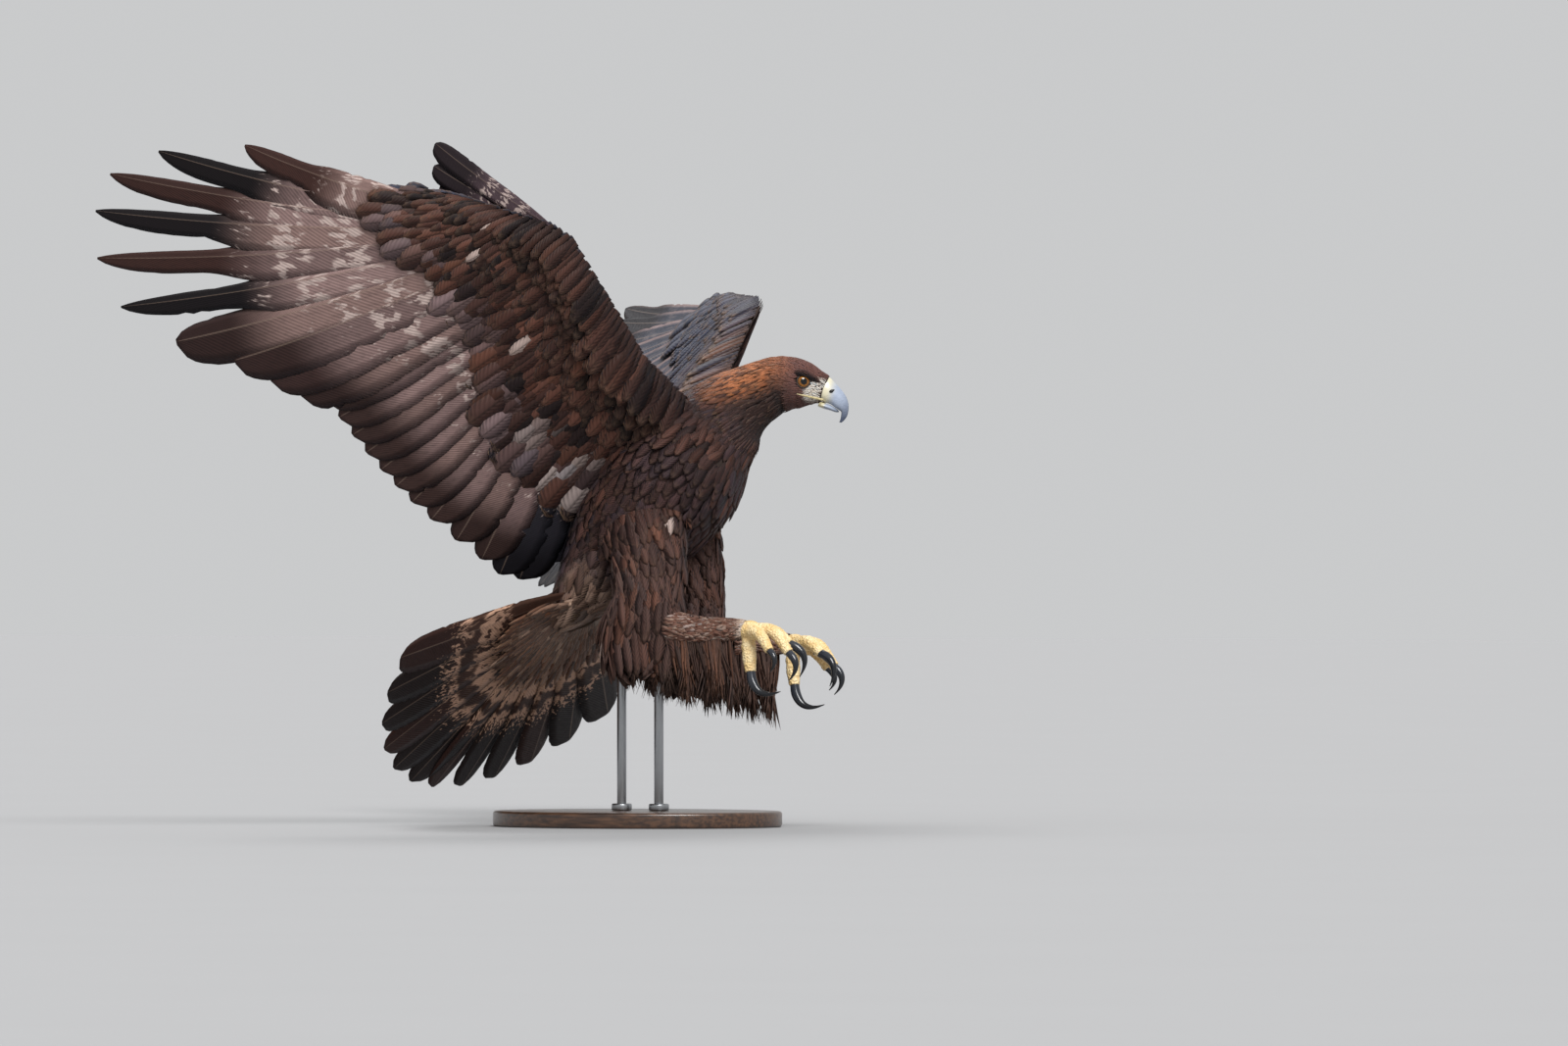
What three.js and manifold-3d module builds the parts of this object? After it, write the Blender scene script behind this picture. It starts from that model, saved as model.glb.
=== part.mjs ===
// Golden eagle coming in to land, life size, on a plain display stand. Millimetres, +Z up.
// The bird heads along +X. It is built upright in its own frame, then banked as a whole.
// The right wing and leg are modelled, and the left ones are their mirror image.
import * as THREE from "three";
import { mergeVertices } from "three/addons/utils/BufferGeometryUtils.js";
import Module from "manifold-3d";

const wasm = await Module();
wasm.setup();

// Driving dimensions
const seam = 0.36; // clearance that parted pieces keep from each other
const bankDegrees = 7.5; // the right wing is carried higher
const baseThickness = 20;
const bodyHeight = 466; // from the floor to the middle of the bird's frame
const bodyForward = 20; // the stand's centre lies under the centre of mass
const shoulder = new THREE.Vector3(55, -58, 62);
const wrist = new THREE.Vector3(8, -300, 250);
const chordHint = new THREE.Vector3(-294, -89, -209);
const headYaw = 18; // degrees, towards the bird's left
const eyeballRadius = 11;
const tailFeatherReach = 338;
const tailSpread = 66; // degrees, each side of the tail's axis
const rectrixCount = 12;
const primaryCount = 10;
const secondaryCount = 9;
const tertialCount = 5;

const v3 = (x, y, z) => new THREE.Vector3(x, y, z);
const radians = THREE.MathUtils.degToRad;
const mix = THREE.MathUtils.lerp;
const numbered = (from, to) => Array.from({ length: to - from + 1 }, (_, k) => from + k);

// Smooth value at x through [x, value] knots in rising order.
function profile(knots, x) {
  const last = knots.length - 1;
  if (x <= knots[0][0]) return knots[0][1];
  if (x >= knots[last][0]) return knots[last][1];
  const i = knots.findIndex((k) => k[0] > x) - 1;
  const slope = (j) => {
    const a = knots[Math.max(0, j - 1)];
    const b = knots[Math.min(last, j + 1)];
    return (b[1] - a[1]) / (b[0] - a[0]);
  };
  const [[x0, y0], [x1, y1]] = [knots[i], knots[i + 1]];
  const d = x1 - x0;
  const t = (x - x0) / d;
  const s = t * t * (3 - 2 * t);
  const ease = t * (1 - t) * (1 - t) * d * slope(i) - t * t * (1 - t) * d * slope(i + 1);
  return y0 + s * (y1 - y0) + ease;
}

// Closed skins

function geometryOf(points, index) {
  const geometry = new THREE.BufferGeometry();
  geometry.setAttribute("position", new THREE.Float32BufferAttribute(points.flatMap((p) => p.toArray()), 3));
  geometry.setIndex(index);
  return geometry;
}

// A skin through rings of equally many points, closed at both ends.
function loft(rings) {
  const n = rings[0].length;
  const index = [];
  for (let r = 0; r + 1 < rings.length; r++)
    for (let k = 0; k < n; k++) {
      const a = r * n + k;
      const b = r * n + ((k + 1) % n);
      index.push(a, b, b + n, a, b + n, a + n);
    }
  const points = rings.flat();
  const middle = (ring) => ring.reduce((sum, p) => sum.add(p), v3(0, 0, 0)).divideScalar(n);
  points.push(middle(rings[0]), middle(rings.at(-1)));
  const top = (rings.length - 1) * n;
  for (let k = 0; k < n; k++) {
    const next = (k + 1) % n;
    index.push(points.length - 2, next, k, points.length - 1, top + k, top + next);
  }
  return geometryOf(points, index);
}

// A thin plate through rows of points, with both faces split into the same triangles.
function plate(rows) {
  const across = rows[0].points.length;
  const points = [];
  for (const { points: line, normal, thickness } of rows) {
    for (const side of [0.5, -0.5])
      for (const p of line) points.push(p.clone().addScaledVector(normal, side * thickness));
  }
  const at = (row, side, k) => (row * 2 + side) * across + k;
  const index = [];
  const quad = (a, b, c, d) => index.push(a, b, c, a, c, d);
  const last = rows.length - 1;
  for (let r = 0; r < last; r++) {
    for (let k = 0; k + 1 < across; k++) {
      index.push(at(r, 0, k), at(r, 0, k + 1), at(r + 1, 0, k + 1));
      index.push(at(r, 0, k), at(r + 1, 0, k + 1), at(r + 1, 0, k));
      index.push(at(r, 1, k), at(r + 1, 1, k + 1), at(r, 1, k + 1));
      index.push(at(r, 1, k), at(r + 1, 1, k), at(r + 1, 1, k + 1));
    }
    const end = across - 1;
    quad(at(r, 0, 0), at(r + 1, 0, 0), at(r + 1, 1, 0), at(r, 1, 0));
    quad(at(r, 0, end), at(r, 1, end), at(r + 1, 1, end), at(r + 1, 0, end));
  }
  for (let k = 0; k + 1 < across; k++) {
    quad(at(0, 0, k), at(0, 1, k), at(0, 1, k + 1), at(0, 0, k + 1));
    quad(at(last, 0, k), at(last, 0, k + 1), at(last, 1, k + 1), at(last, 1, k));
  }
  return geometryOf(points, index);
}

function solid(geometry) {
  const bare = new THREE.BufferGeometry();
  bare.setAttribute("position", geometry.getAttribute("position"));
  bare.setIndex(geometry.index);
  const merged = mergeVertices(bare, 1e-4);
  const make = (triVerts) =>
    new wasm.Manifold(
      new wasm.Mesh({ numProp: 3, vertProperties: merged.attributes.position.array, triVerts })
    );
  const triVerts = new Uint32Array(merged.index.array);
  const made = make(triVerts);
  if (made.volume() > 0) return made;
  for (let i = 0; i < triVerts.length; i += 3)
    [triVerts[i + 1], triVerts[i + 2]] = [triVerts[i + 2], triVerts[i + 1]];
  return make(triVerts);
}

const joined = (solids) => wasm.Manifold.union(solids);
const largest = (made) =>
  made.decompose().reduce((best, body) => (body.volume() > best.volume() ? body : best));

function geometryFrom(made) {
  const { vertProperties, triVerts } = largest(made).simplify(0.02).getMesh();
  const geometry = new THREE.BufferGeometry();
  geometry.setAttribute("position", new THREE.BufferAttribute(new Float32Array(vertProperties), 3));
  geometry.setIndex(new THREE.BufferAttribute(new Uint32Array(triVerts), 1));
  geometry.computeVertexNormals();
  return geometry;
}

// A ring of points about a centre, side and rise being the two half axes as vectors.
function ring(centre, side, rise, count, squareness = 2) {
  const points = [];
  for (let k = 0; k < count; k++) {
    const angle = (2 * Math.PI * k) / count;
    const [c, s] = [Math.cos(angle), Math.sin(angle)];
    const bulge = (x) => Math.sign(x) * Math.abs(x) ** (2 / squareness);
    points.push(centre.clone().addScaledVector(side, bulge(c)).addScaledVector(rise, bulge(s)));
  }
  return points;
}

// A round limb along a curve, its radius given by knots over 0 to 1.
function limb(points, radiusKnots, options = {}) {
  const { steps = 6, count = 10, flat = 1, sideHint = v3(0, 1, 0), grow = 0 } = options;
  const curve = new THREE.CatmullRomCurve3(points, false, "centripetal");
  const rings = [];
  for (let i = 0; i <= steps; i++) {
    const t = i / steps;
    const along = curve.getTangent(t);
    const side = sideHint.clone().addScaledVector(along, -sideHint.dot(along)).normalize();
    const rise = along.clone().cross(side);
    const radius = profile(radiusKnots, t) + grow;
    side.multiplyScalar(radius * flat);
    rings.push(ring(curve.getPoint(t), side, rise.multiplyScalar(radius), count));
  }
  return solid(loft(rings));
}

// Shapes of a feather's vane: [share of its length, share of its full width].
const quillShape = [[0, 0.2], [0.3, 0.85], [0.6, 1], [0.9, 0.78], [1, 0.16]];
const fingerShape = [[0, 0.2], [0.3, 0.85], [0.63, 1], [0.71, 0.58], [0.93, 0.44], [1, 0.1]];
const covertShape = [[0, 0.35], [0.55, 1], [0.88, 0.75], [1, 0.2]];
const lockShape = [[0, 0.7], [0.4, 1], [0.8, 0.6], [1, 0.1]];

// A feather: a thin vane along a centre line, tilted so that its inner edge shows below the
// next feather inwards. grow gives the same feather with a clearance around it.
function vane(centre, face, { outer, inner, tilt = 0.1, thickness = 0.9, outward = 1, grow = 0, shape }) {
  const along = centre(1).sub(centre(0)).normalize();
  const side = along.clone().cross(face).normalize().multiplyScalar(outward);
  const edge = (t, reach) =>
    centre(t).addScaledVector(side, reach).addScaledVector(face, -tilt * reach);
  const rows = shape.map(([t, share], i) => {
    const end = i === 0 ? -grow / 200 : i === shape.length - 1 ? grow / 200 : 0;
    const points = [edge(t + end, outer * share + grow), edge(t + end, -inner * share - grow)];
    return { points, normal: face, thickness: thickness + 2 * grow };
  });
  return solid(plate(rows));
}

// Trunk: one spine from the tail to the bill, parted into torso, neck and head

const trunkStations = [
  { name: "tail root", at: [-92, 0, -177.5], depth: 34, width: 42 },
  { name: "rump", at: [-60, 0, -137.5], depth: 56, width: 58 },
  { name: "belly", at: [-22, 0, -87.5], depth: 76, width: 78 },
  { name: "lower breast", at: [7, 0, -50], depth: 84, width: 86 },
  { name: "breast", at: [38, 0, -12.5], depth: 84, width: 88 },
  { name: "shoulders", at: [63, 0, 17.5], depth: 76, width: 82 },
  { name: "neck base", at: [89, 0, 45], depth: 61, width: 62 },
  { name: "lower neck", at: [112, 0, 67.5], depth: 50, width: 50 },
  { name: "upper neck", at: [135, 3.6, 84], depth: 42, width: 41 },
  { name: "nape", at: [161.3, 12.1, 98.5], depth: 36.5, width: 36 },
  { name: "skull", at: [180.4, 18.3, 102], depth: 34.5, width: 33 },
  { name: "eyes", at: [198.2, 24.1, 101], depth: 30, width: 26.5 },
  { name: "lores", at: [213.7, 29.1, 98], depth: 22.5, width: 20 },
  { name: "cere", at: [222.6, 32, 95], depth: 19.4, width: 12.5 },
];
const stationOf = (name) => trunkStations.findIndex((s) => s.name === name);
const spine = new THREE.CatmullRomCurve3(trunkStations.map((s) => v3(...s.at)), false, "catmullrom");
const depthKnots = trunkStations.map((s, i) => [i, s.depth]);
const widthKnots = trunkStations.map((s, i) => [i, s.width]);

// The spine's place and axes at a station number: along to the head, left and up (dorsal).
function spineFrame(station) {
  const t = station / (trunkStations.length - 1);
  const along = spine.getTangent(t);
  const left = v3(0, 0, 1).cross(along).normalize();
  return { centre: spine.getPoint(t), along, left, up: along.clone().cross(left) };
}

function trunkRing(station, { shift = 0, grow = 0, count = 18 } = {}) {
  const { centre, along, left, up } = spineFrame(station);
  centre.addScaledVector(along, shift);
  const width = profile(widthKnots, station) + grow;
  const depth = profile(depthKnots, station) + grow;
  return ring(centre, left.multiplyScalar(width), up.multiplyScalar(depth), count, 2.15);
}

function trunkPart(from, to, { grow = 0, step = 0.5, count = 18 } = {}) {
  const rings = [];
  for (let s = from; s <= to + 1e-6; s += step) {
    const end = (s < from + 1e-6 ? 1 : 0) - (s > to - 1e-6 ? 1 : 0);
    rings.push(trunkRing(s, { shift: end * (seam / 2 - grow), grow, count }));
  }
  return solid(loft(rings));
}

const torsoEnd = stationOf("neck base");
const neckEnd = stationOf("nape");
const headEnd = stationOf("cere");
const torso = trunkPart(0, torsoEnd);
const neck = trunkPart(torsoEnd, neckEnd);
// the trunk with a clearance around it, which cuts what meets it
const trunkClear = trunkPart(0, neckEnd, { grow: seam });

// Head, eyes and bill, placed in the head's own frame

const headFrame = spineFrame(stationOf("eyes"));
const faceForward = v3(Math.cos(radians(headYaw)), Math.sin(radians(headYaw)), 0);
const faceLeft = v3(-Math.sin(radians(headYaw)), Math.cos(radians(headYaw)), 0);
const faceUp = v3(0, 0, 1);
// forward, left and up of the point between the eyes
function inHead(forward, left, up) {
  return headFrame.centre
    .clone()
    .addScaledVector(faceForward, forward)
    .addScaledVector(faceLeft, left)
    .addScaledVector(faceUp, up);
}

const eyeAcross = 18.6;
const eyeRise = 2.5;
const lidOpening = 8.4;
const eyeCentre = (side) => inHead(-1, side * eyeAcross, eyeRise);
const eyeLook = (side) =>
  faceLeft
    .clone()
    .multiplyScalar(side)
    .addScaledVector(faceForward, 0.32)
    .addScaledVector(faceUp, -0.04)
    .normalize();

function ball(centre, radius, look, rings = 8) {
  const geometry = new THREE.SphereGeometry(radius, Math.round(rings * 1.5), rings);
  geometry.applyQuaternion(new THREE.Quaternion().setFromUnitVectors(v3(0, 1, 0), look));
  geometry.translate(centre.x, centre.y, centre.z);
  return solid(geometry);
}

function lid(side) {
  const geometry = new THREE.TorusGeometry(lidOpening, 2.3, 5, 12);
  geometry.applyQuaternion(new THREE.Quaternion().setFromUnitVectors(v3(0, 0, 1), eyeLook(side)));
  const centre = eyeCentre(side).addScaledVector(eyeLook(side), 7.6);
  geometry.translate(centre.x, centre.y, centre.z);
  return solid(geometry);
}

// The bony shelf over each eye, running down to the bill.
function brow(side) {
  const path = [
    inHead(-17, side * 25, 13),
    inHead(-3, side * 26.5, 14.5),
    inHead(10, side * 21.5, 10.5),
    inHead(21, side * 13, 3.5),
  ];
  return limb(path, [[0, 2], [0.35, 5.2], [0.7, 4.4], [1, 1.5]], { steps: 5, count: 6 });
}

// The fleshy corner of the mouth, and the line where the mandibles meet behind the bill.
function gape(side) {
  const path = [inHead(-9, side * 26, -15.5), inHead(5, side * 22.5, -18), inHead(24, side * 12.5, -20)];
  return limb(path, [[0, 0.8], [0.5, 2.4], [1, 2.6]], { steps: 4, count: 5 });
}
function mouthLine(side) {
  const path = [inHead(-7, side * 29, -18.4), inHead(7, side * 26, -21), inHead(34, side * 15, -23.5)];
  return limb(path, [[0, 0.3], [0.4, 0.9], [1, 0.9]], { steps: 4, count: 6, flat: 4, sideHint: faceLeft });
}

const sides = { right: -1, left: 1 };
const eyeSolids = {};
const headPieces = [trunkPart(neckEnd, headEnd, { step: 0.4 })];
const headCuts = [];
for (const [name, side] of Object.entries(sides)) {
  eyeSolids[name] = ball(eyeCentre(side), eyeballRadius, eyeLook(side));
  headPieces.push(lid(side), brow(side), gape(side));
  headCuts.push(ball(eyeCentre(side), eyeballRadius + seam, eyeLook(side)), mouthLine(side));
}
let head = joined(headPieces).subtract(joined(headCuts));

// The upper mandible with its cere: top and bottom of each section in the head's profile.
const upperBill = [
  { top: [29.3, 11.2], bottom: [23.4, -20.6], half: 12.6 },
  { top: [38, 3.5], bottom: [33, -23.5], half: 10.6 },
  { top: [47, -6], bottom: [39.5, -28], half: 8.6 },
  { top: [53.5, -15], bottom: [45.5, -32], half: 6.6 },
  { top: [56.4, -25], bottom: [47.6, -33.6], half: 4.8 },
  { top: [55.6, -36], bottom: [47.4, -37], half: 3.2 },
  { top: [48.6, -46.4], bottom: [45.8, -46], half: 0.7 },
];
const lowerBill = [
  { top: [23, -22.2], bottom: [19.6, -27], half: 9.5 },
  { top: [34, -25.2], bottom: [31.5, -31], half: 7.2 },
  { top: [41.5, -29.6], bottom: [40, -33.2], half: 4.2 },
  { top: [44.4, -32.2], bottom: [43.8, -33.2], half: 1.6 },
];
function bill(sections, grow = 0) {
  const rings = sections.map(({ top, bottom, half }) => {
    const points = [];
    const count = 14;
    for (let k = 0; k < count; k++) {
      const angle = (2 * Math.PI * k) / count;
      // 0 at the top to 1 at the bottom, widest low down
      const drop = (1 - Math.cos(angle)) / 2;
      const spread = Math.sign(Math.sin(angle)) * Math.abs(Math.sin(angle)) ** 0.8 * (0.72 + 0.38 * drop);
      const forward = mix(top[0], bottom[0], drop);
      const up = mix(top[1], bottom[1], drop);
      points.push(inHead(forward, spread * (half + grow), up));
    }
    return points;
  });
  return solid(loft(rings));
}
function nostril(side) {
  const path = [inHead(30.5, side * 11.5, -10.5), inHead(36, side * 9.5, -6)];
  return limb(path, [[0, 1], [1, 1]], { steps: 1, count: 6, flat: 3.2, sideHint: faceLeft });
}
const headClear = trunkPart(neckEnd, headEnd, { step: 0.4, grow: seam });
const billUpper = bill(upperBill).subtract(joined([headClear, nostril(-1), nostril(1)]));
const billLower = bill(lowerBill).subtract(headClear);
head = head.subtract(joined([bill(upperBill, seam), bill(lowerBill, seam)]));

// Wings, modelled on the right: u runs from shoulder to wrist, v across the chord to the
// trailing edge, w out of the underside.

const spanAxis = wrist.clone().sub(shoulder).normalize();
const underside = spanAxis.clone().cross(chordHint).normalize();
const chordAxis = underside.clone().cross(spanAxis);
const wristAt = wrist.distanceTo(shoulder);
const handAngle = radians(40);
const handLength = 152;

const alongHand = (h, lead = 0) => [
  wristAt + h * Math.cos(handAngle) + lead * Math.sin(handAngle),
  12 + h * Math.sin(handAngle) - lead * Math.cos(handAngle),
];

// Fleshy arm sections from leading to rear edge, with their thickness.
const armSections = [
  { lead: [-34, -26], rear: [-80, 84], thick: 44 },
  { lead: [6, -22], rear: [-30, 118], thick: 38 },
  { lead: [50, -6], rear: [30, 134], thick: 32 },
  { lead: [95, 0], rear: [85, 138], thick: 27 },
  { lead: [140, 2], rear: [135, 138], thick: 25 },
  { lead: [195, 3], rear: [186, 118], thick: 23 },
  { lead: [250, 2], rear: [244, 88], thick: 21 },
  { lead: [298, -4], rear: [280, 62], thick: 20 },
  { lead: alongHand(22, 15), rear: alongHand(24, -44), thick: 18 },
  { lead: alongHand(65, 14), rear: alongHand(58, -40), thick: 15 },
  { lead: alongHand(110, 11), rear: alongHand(108, -30), thick: 11 },
  { lead: alongHand(handLength, 5), rear: alongHand(handLength, -10), thick: 5 },
];
const elbowSection = 4;
const wristSection = 7.4;
const lastArm = armSections.length - 1;
const primaries = numbered(1, primaryCount);
const secondaries = numbered(1, secondaryCount);
const tertials = numbered(secondaryCount + 1, secondaryCount + tertialCount);

// Where each flight feather starts and ends on the wing's plane. Primaries are counted from
// the wrist outwards, secondaries and tertials from the wrist inwards.
const primaryReachKnots = [[1, 398], [3, 452], [5, 573], [7, 603], [8, 592], [9, 540], [10, 439]];
const primaryAngleKnots = [[1, 92], [4, 75], [7, 55.5], [10, 42]];
function primaryLine(i, lastTip) {
  const root = alongHand(mix(10, 128, (i - 1) / (primaryCount - 1)), -7);
  if (i === primaryCount && lastTip) return { root, tip: lastTip };
  const reach = profile(primaryReachKnots, i);
  const angle = radians(profile(primaryAngleKnots, i));
  return { root, tip: [wristAt + reach * Math.cos(angle), reach * Math.sin(angle)] };
}
const innerTipU = [[1, 269], [5, 135], [8, 31], [10, -60], [12, -115], [14, -104]];
const innerTipV = [[1, 374], [5, 361], [8, 340], [10, 312], [12, 284], [14, 190]];
const ulna = { wrist: [284, 30], elbow: [150, 112] };
const humerus = { elbow: [134, 108], shoulder: [62, 66] };
function innerLine(j) {
  const tip = [profile(innerTipU, j), profile(innerTipV, j)];
  const place = (bone, a, b, t) => [mix(bone[a][0], bone[b][0], t), mix(bone[a][1], bone[b][1], t)];
  const root =
    j <= secondaryCount
      ? place(ulna, "wrist", "elbow", (j - 1) / (secondaryCount - 1))
      : place(humerus, "elbow", "shoulder", (j - secondaryCount - 1) / tertialCount);
  return { root, tip };
}

// A wing in its own plane. handBend is how far the finger tips are blown up by the air,
// alulaTips are the ends of the thumb's feathers and lastTip that of the outermost primary.
function makeWing(handBend, alulaTips, lastTip) {
  // How far the feathers are arched towards the upper side.
  const arch = (u, v) => 14 * (v / 370) ** 2 + handBend * (Math.max(0, u - 290) / 360) ** 1.5;
  const onWing = (u, v, w = 0) =>
    shoulder
      .clone()
      .addScaledVector(spanAxis, u)
      .addScaledVector(chordAxis, v)
      .addScaledVector(underside, w - arch(u, v));
  function armRing(station, { grow = 0, shift = 0 } = {}) {
    const i = Math.min(Math.floor(station), armSections.length - 2);
    const t = station - i;
    const [a, b] = [armSections[i], armSections[i + 1]];
    const lead = [mix(a.lead[0], b.lead[0], t), mix(a.lead[1], b.lead[1], t)];
    const rear = [mix(a.rear[0], b.rear[0], t), mix(a.rear[1], b.rear[1], t)];
    const thick = mix(a.thick, b.thick, t);
    const chord = Math.hypot(rear[0] - lead[0], rear[1] - lead[1]);
    const back = [(rear[0] - lead[0]) / chord, (rear[1] - lead[1]) / chord];
    const out = [back[1], -back[0]];
    const points = [];
    const count = 10;
    for (let k = 0; k < count; k++) {
      const angle = (2 * Math.PI * k) / count;
      const share = (1 - Math.cos(angle)) / 2;
      const fullness = Math.sin(Math.PI * Math.min(1, 0.06 + share * 0.94) ** 0.72) * 0.92 + 0.08;
      const half = (thick / 2) * fullness + grow;
      const reach = share * (chord + 2 * grow) - grow;
      points.push(
        onWing(
          lead[0] + back[0] * reach + out[0] * shift,
          lead[1] + back[1] * reach + out[1] * shift,
          Math.sin(angle) * half
        )
      );
    }
    return points;
  }
  function armPart(from, to, { grow = 0, step = 0.5 } = {}) {
    const rings = [];
    const steps = Math.max(1, Math.round((to - from) / step));
    for (let i = 0; i <= steps; i++) {
      const end = (i === 0 ? 1 : 0) - (i === steps ? 1 : 0);
      rings.push(armRing(mix(from, to, i / steps), { grow, shift: end * (seam / 2 - grow) }));
    }
    return solid(loft(rings));
  }

  // A flight feather along its line; the outer five primaries narrow into fingers.
  function quill(line, { outer, inner, fingered = false, tilt = 0.1, grow = 0 }) {
    const centre = (t) => onWing(mix(line.root[0], line.tip[0], t), mix(line.root[1], line.tip[1], t));
    return vane(centre, underside, { outer, inner, tilt, grow, shape: fingered ? fingerShape : quillShape });
  }
  // A covert over a flight feather's line, between two shares of its length, on one face.
  function covert(line, [from, to], face, lift, grow) {
    const centre = (t) => {
      const share = mix(from, to, t);
      const w = face * mix(lift * 0.55, lift, Math.min(1, 2 * t));
      return onWing(mix(line.root[0], line.tip[0], share), mix(line.root[1], line.tip[1], share), w);
    };
    return vane(centre, underside, { outer: 24, inner: 34, grow, shape: covertShape });
  }
  function tiers(lines, spans, grow) {
    const made = [];
    for (const face of [1, -1])
      spans.forEach((span, tier) => {
        for (const line of lines) made.push(covert(line, span, face, 7 + 3 * tier, grow));
      });
    return made;
  }
  const alula = (grow) =>
    alulaTips.map((tip, k) => {
      const root = alongHand(14 + 6 * k, 7 - 3 * k);
      const centre = (t) => onWing(mix(root[0], tip[0], t), mix(root[1], tip[1], t), -3 - 3 * t);
      return vane(centre, underside, { outer: 9, inner: 17, grow, shape: covertShape });
    });

  const primaryOf = (i) => primaryLine(i, lastTip);
  function primary(i, grow) {
    const share = i / primaryCount;
    const width = { outer: mix(18, 13, share), inner: mix(42, 36, share) };
    return quill(primaryOf(i), { ...width, fingered: i > 5, tilt: 0.15, grow });
  }
  const pieces = {
    hand: (grow) => [
      armPart(wristSection, lastArm, { grow }),
      ...primaries.map((i) => primary(i, grow)),
      ...tiers(primaries.filter((i) => i % 2).map(primaryOf), [[0.02, 0.4]], grow),
      ...alula(grow),
    ],
    forearm: (grow) => [
      armPart(elbowSection, wristSection, { grow }),
      ...secondaries.map((j) => quill(innerLine(j), { outer: 18, inner: 40, grow })),
      ...tiers(secondaries.filter((j) => j % 2).map(innerLine), [[0.03, 0.52]], grow),
    ],
    upperarm: (grow) => [
      armPart(0, elbowSection, { grow }),
      ...tertials.map((j) => quill(innerLine(j), { outer: 18, inner: 40, grow })),
      ...tiers(tertials.filter((j) => j % 2).map(innerLine), [[0.03, 0.55]], grow),
    ],
  };
  const forearmClear = joined(pieces.forearm(seam));
  const armsClear = joined([
    armPart(wristSection, lastArm, { grow: seam }),
    armPart(0, elbowSection, { grow: seam }),
  ]);
  return {
    hand: joined(pieces.hand(0)).subtract(forearmClear),
    forearm: joined(pieces.forearm(0)).subtract(joined([armsClear, trunkClear])),
    upperarm: joined(pieces.upperarm(0)).subtract(joined([forearmClear, trunkClear])),
  };
}
const wings = {
  right: makeWing(44, [[510, 88], [484, 104], [456, 110]]),
  left: makeWing(8, [[474, 152], [456, 148], [438, 140]], [710, 382]),
};

// Legs

const heel = v3(68, -68, -222);
const footRoot = v3(172, -70, -224);
const thighPath = [
  v3(8, -46, -70),
  v3(26, -56, -120),
  v3(34, -63, -172),
  v3(33, -66, -214),
  v3(36, -68, -256),
];
const thighRadius = [[0, 62], [0.25, 52], [0.5, 47], [0.75, 54], [0.9, 50], [1, 30]];
const thigh = (grow) => limb(thighPath, thighRadius, { steps: 8, count: 14, flat: 0.52, grow });
// Loose locks of the trousers, hanging from the back of the thigh and the heel.
function lock(root, tip, width, outward) {
  const centre = (t) => root.clone().lerp(tip, t).add(v3(0, 0, 8 * t * (1 - t)));
  const size = { outer: width, inner: width, thickness: 3 };
  return vane(centre, v3(0, outward, 0.1), { ...size, tilt: 0, shape: lockShape });
}
function locks(from, to, count, drop) {
  return numbered(0, count - 1).map((k) => {
    const outward = k % 2 ? 1 : -1;
    const root = from.clone().lerp(to, k / (count - 1)).add(v3(0, outward * 9, 0));
    const length = drop * (0.82 + 0.18 * Math.sin(2.4 * k));
    return lock(root, root.clone().add(v3(-6, outward * 10, -length)), 9, outward);
  });
}
const trouserLocks = locks(v3(2, -64, -208), v3(76, -68, -236), 8, 84);
const heelLocks = locks(v3(88, -68, -226), v3(144, -70, -229), 6, 88);
const thighSolid = joined([thigh(0), ...trouserLocks]).subtract(trunkClear);
const bootPath = [heel, v3(110, -69, -226), v3(150, -70, -225), footRoot];
const bootRadius = [[0, 17], [0.5, 15.5], [1, 13.2]];
const footBall = v3(182, -70, -226);
const toeSpecs = {
  hallux: { path: [[-2, 0, -6], [0, 1, -30], [3, 1, -52]], radius: [[0, 9], [0.6, 8.4], [1, 6.4]] },
  inner: { path: [[0, 6, 0], [26, 16, 1], [46, 20, -14]], radius: [[0, 8.6], [0.6, 7.6], [1, 6]] },
  middle: { path: [[2, 0, 1], [32, 0, -1], [56, -2, -28]], radius: [[0, 9], [0.6, 7.8], [1, 6]] },
  outer: { path: [[0, -6, 0], [22, -17, -8], [38, -22, -28]], radius: [[0, 8.2], [0.6, 7], [1, 5.4]] },
};
const clawSpecs = {
  hallux: { chord: 50, heading: [0.86, 0, -0.5], root: 6, sag: 15 },
  inner: { chord: 45, heading: [0.35, 0.05, -0.94], root: 5.6, sag: 13 },
  middle: { chord: 36, heading: [0.05, 0, -1], root: 4.8, sag: 10 },
  outer: { chord: 28, heading: [0.1, -0.05, -1], root: 4.2, sag: 8 },
};
const fromBall = ([x, y, z]) => footBall.clone().add(v3(x, y, z));
function toe(name, grow = 0) {
  const { path, radius } = toeSpecs[name];
  return limb(path.map(fromBall), radius, { steps: 4, count: 7, grow });
}
function claw(name) {
  const { path } = toeSpecs[name];
  const { chord, heading, root, sag } = clawSpecs[name];
  const start = fromBall(path.at(-1));
  const before = fromBall(path.at(-2));
  const out = start.clone().sub(before).normalize();
  const run = v3(...heading).normalize();
  const bulge = out.clone().addScaledVector(run, -out.dot(run)).normalize();
  const at = (t) =>
    start.clone().addScaledVector(run, chord * t).addScaledVector(bulge, sag * 4 * t * (1 - t));
  const radius = [[0, root], [0.5, root * 0.72], [1, 0.6]];
  return limb([at(-0.08), at(0.12), at(0.4), at(0.7), at(1)], radius, { steps: 6, count: 6 });
}
const toeNames = Object.keys(toeSpecs);
const palm = (grow) =>
  solid(new THREE.SphereGeometry(14 + grow, 12, 7).scale(1.1, 1, 0.95).translate(...footBall.toArray()));
const trousersClear = joined([thigh(seam), ...trouserLocks]);
const boot = (grow) => limb(bootPath, bootRadius, { steps: 5, count: 12, grow });
const bootSolid = joined([boot(0), ...heelLocks]).subtract(trousersClear);
const bootClear = boot(seam);
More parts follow.
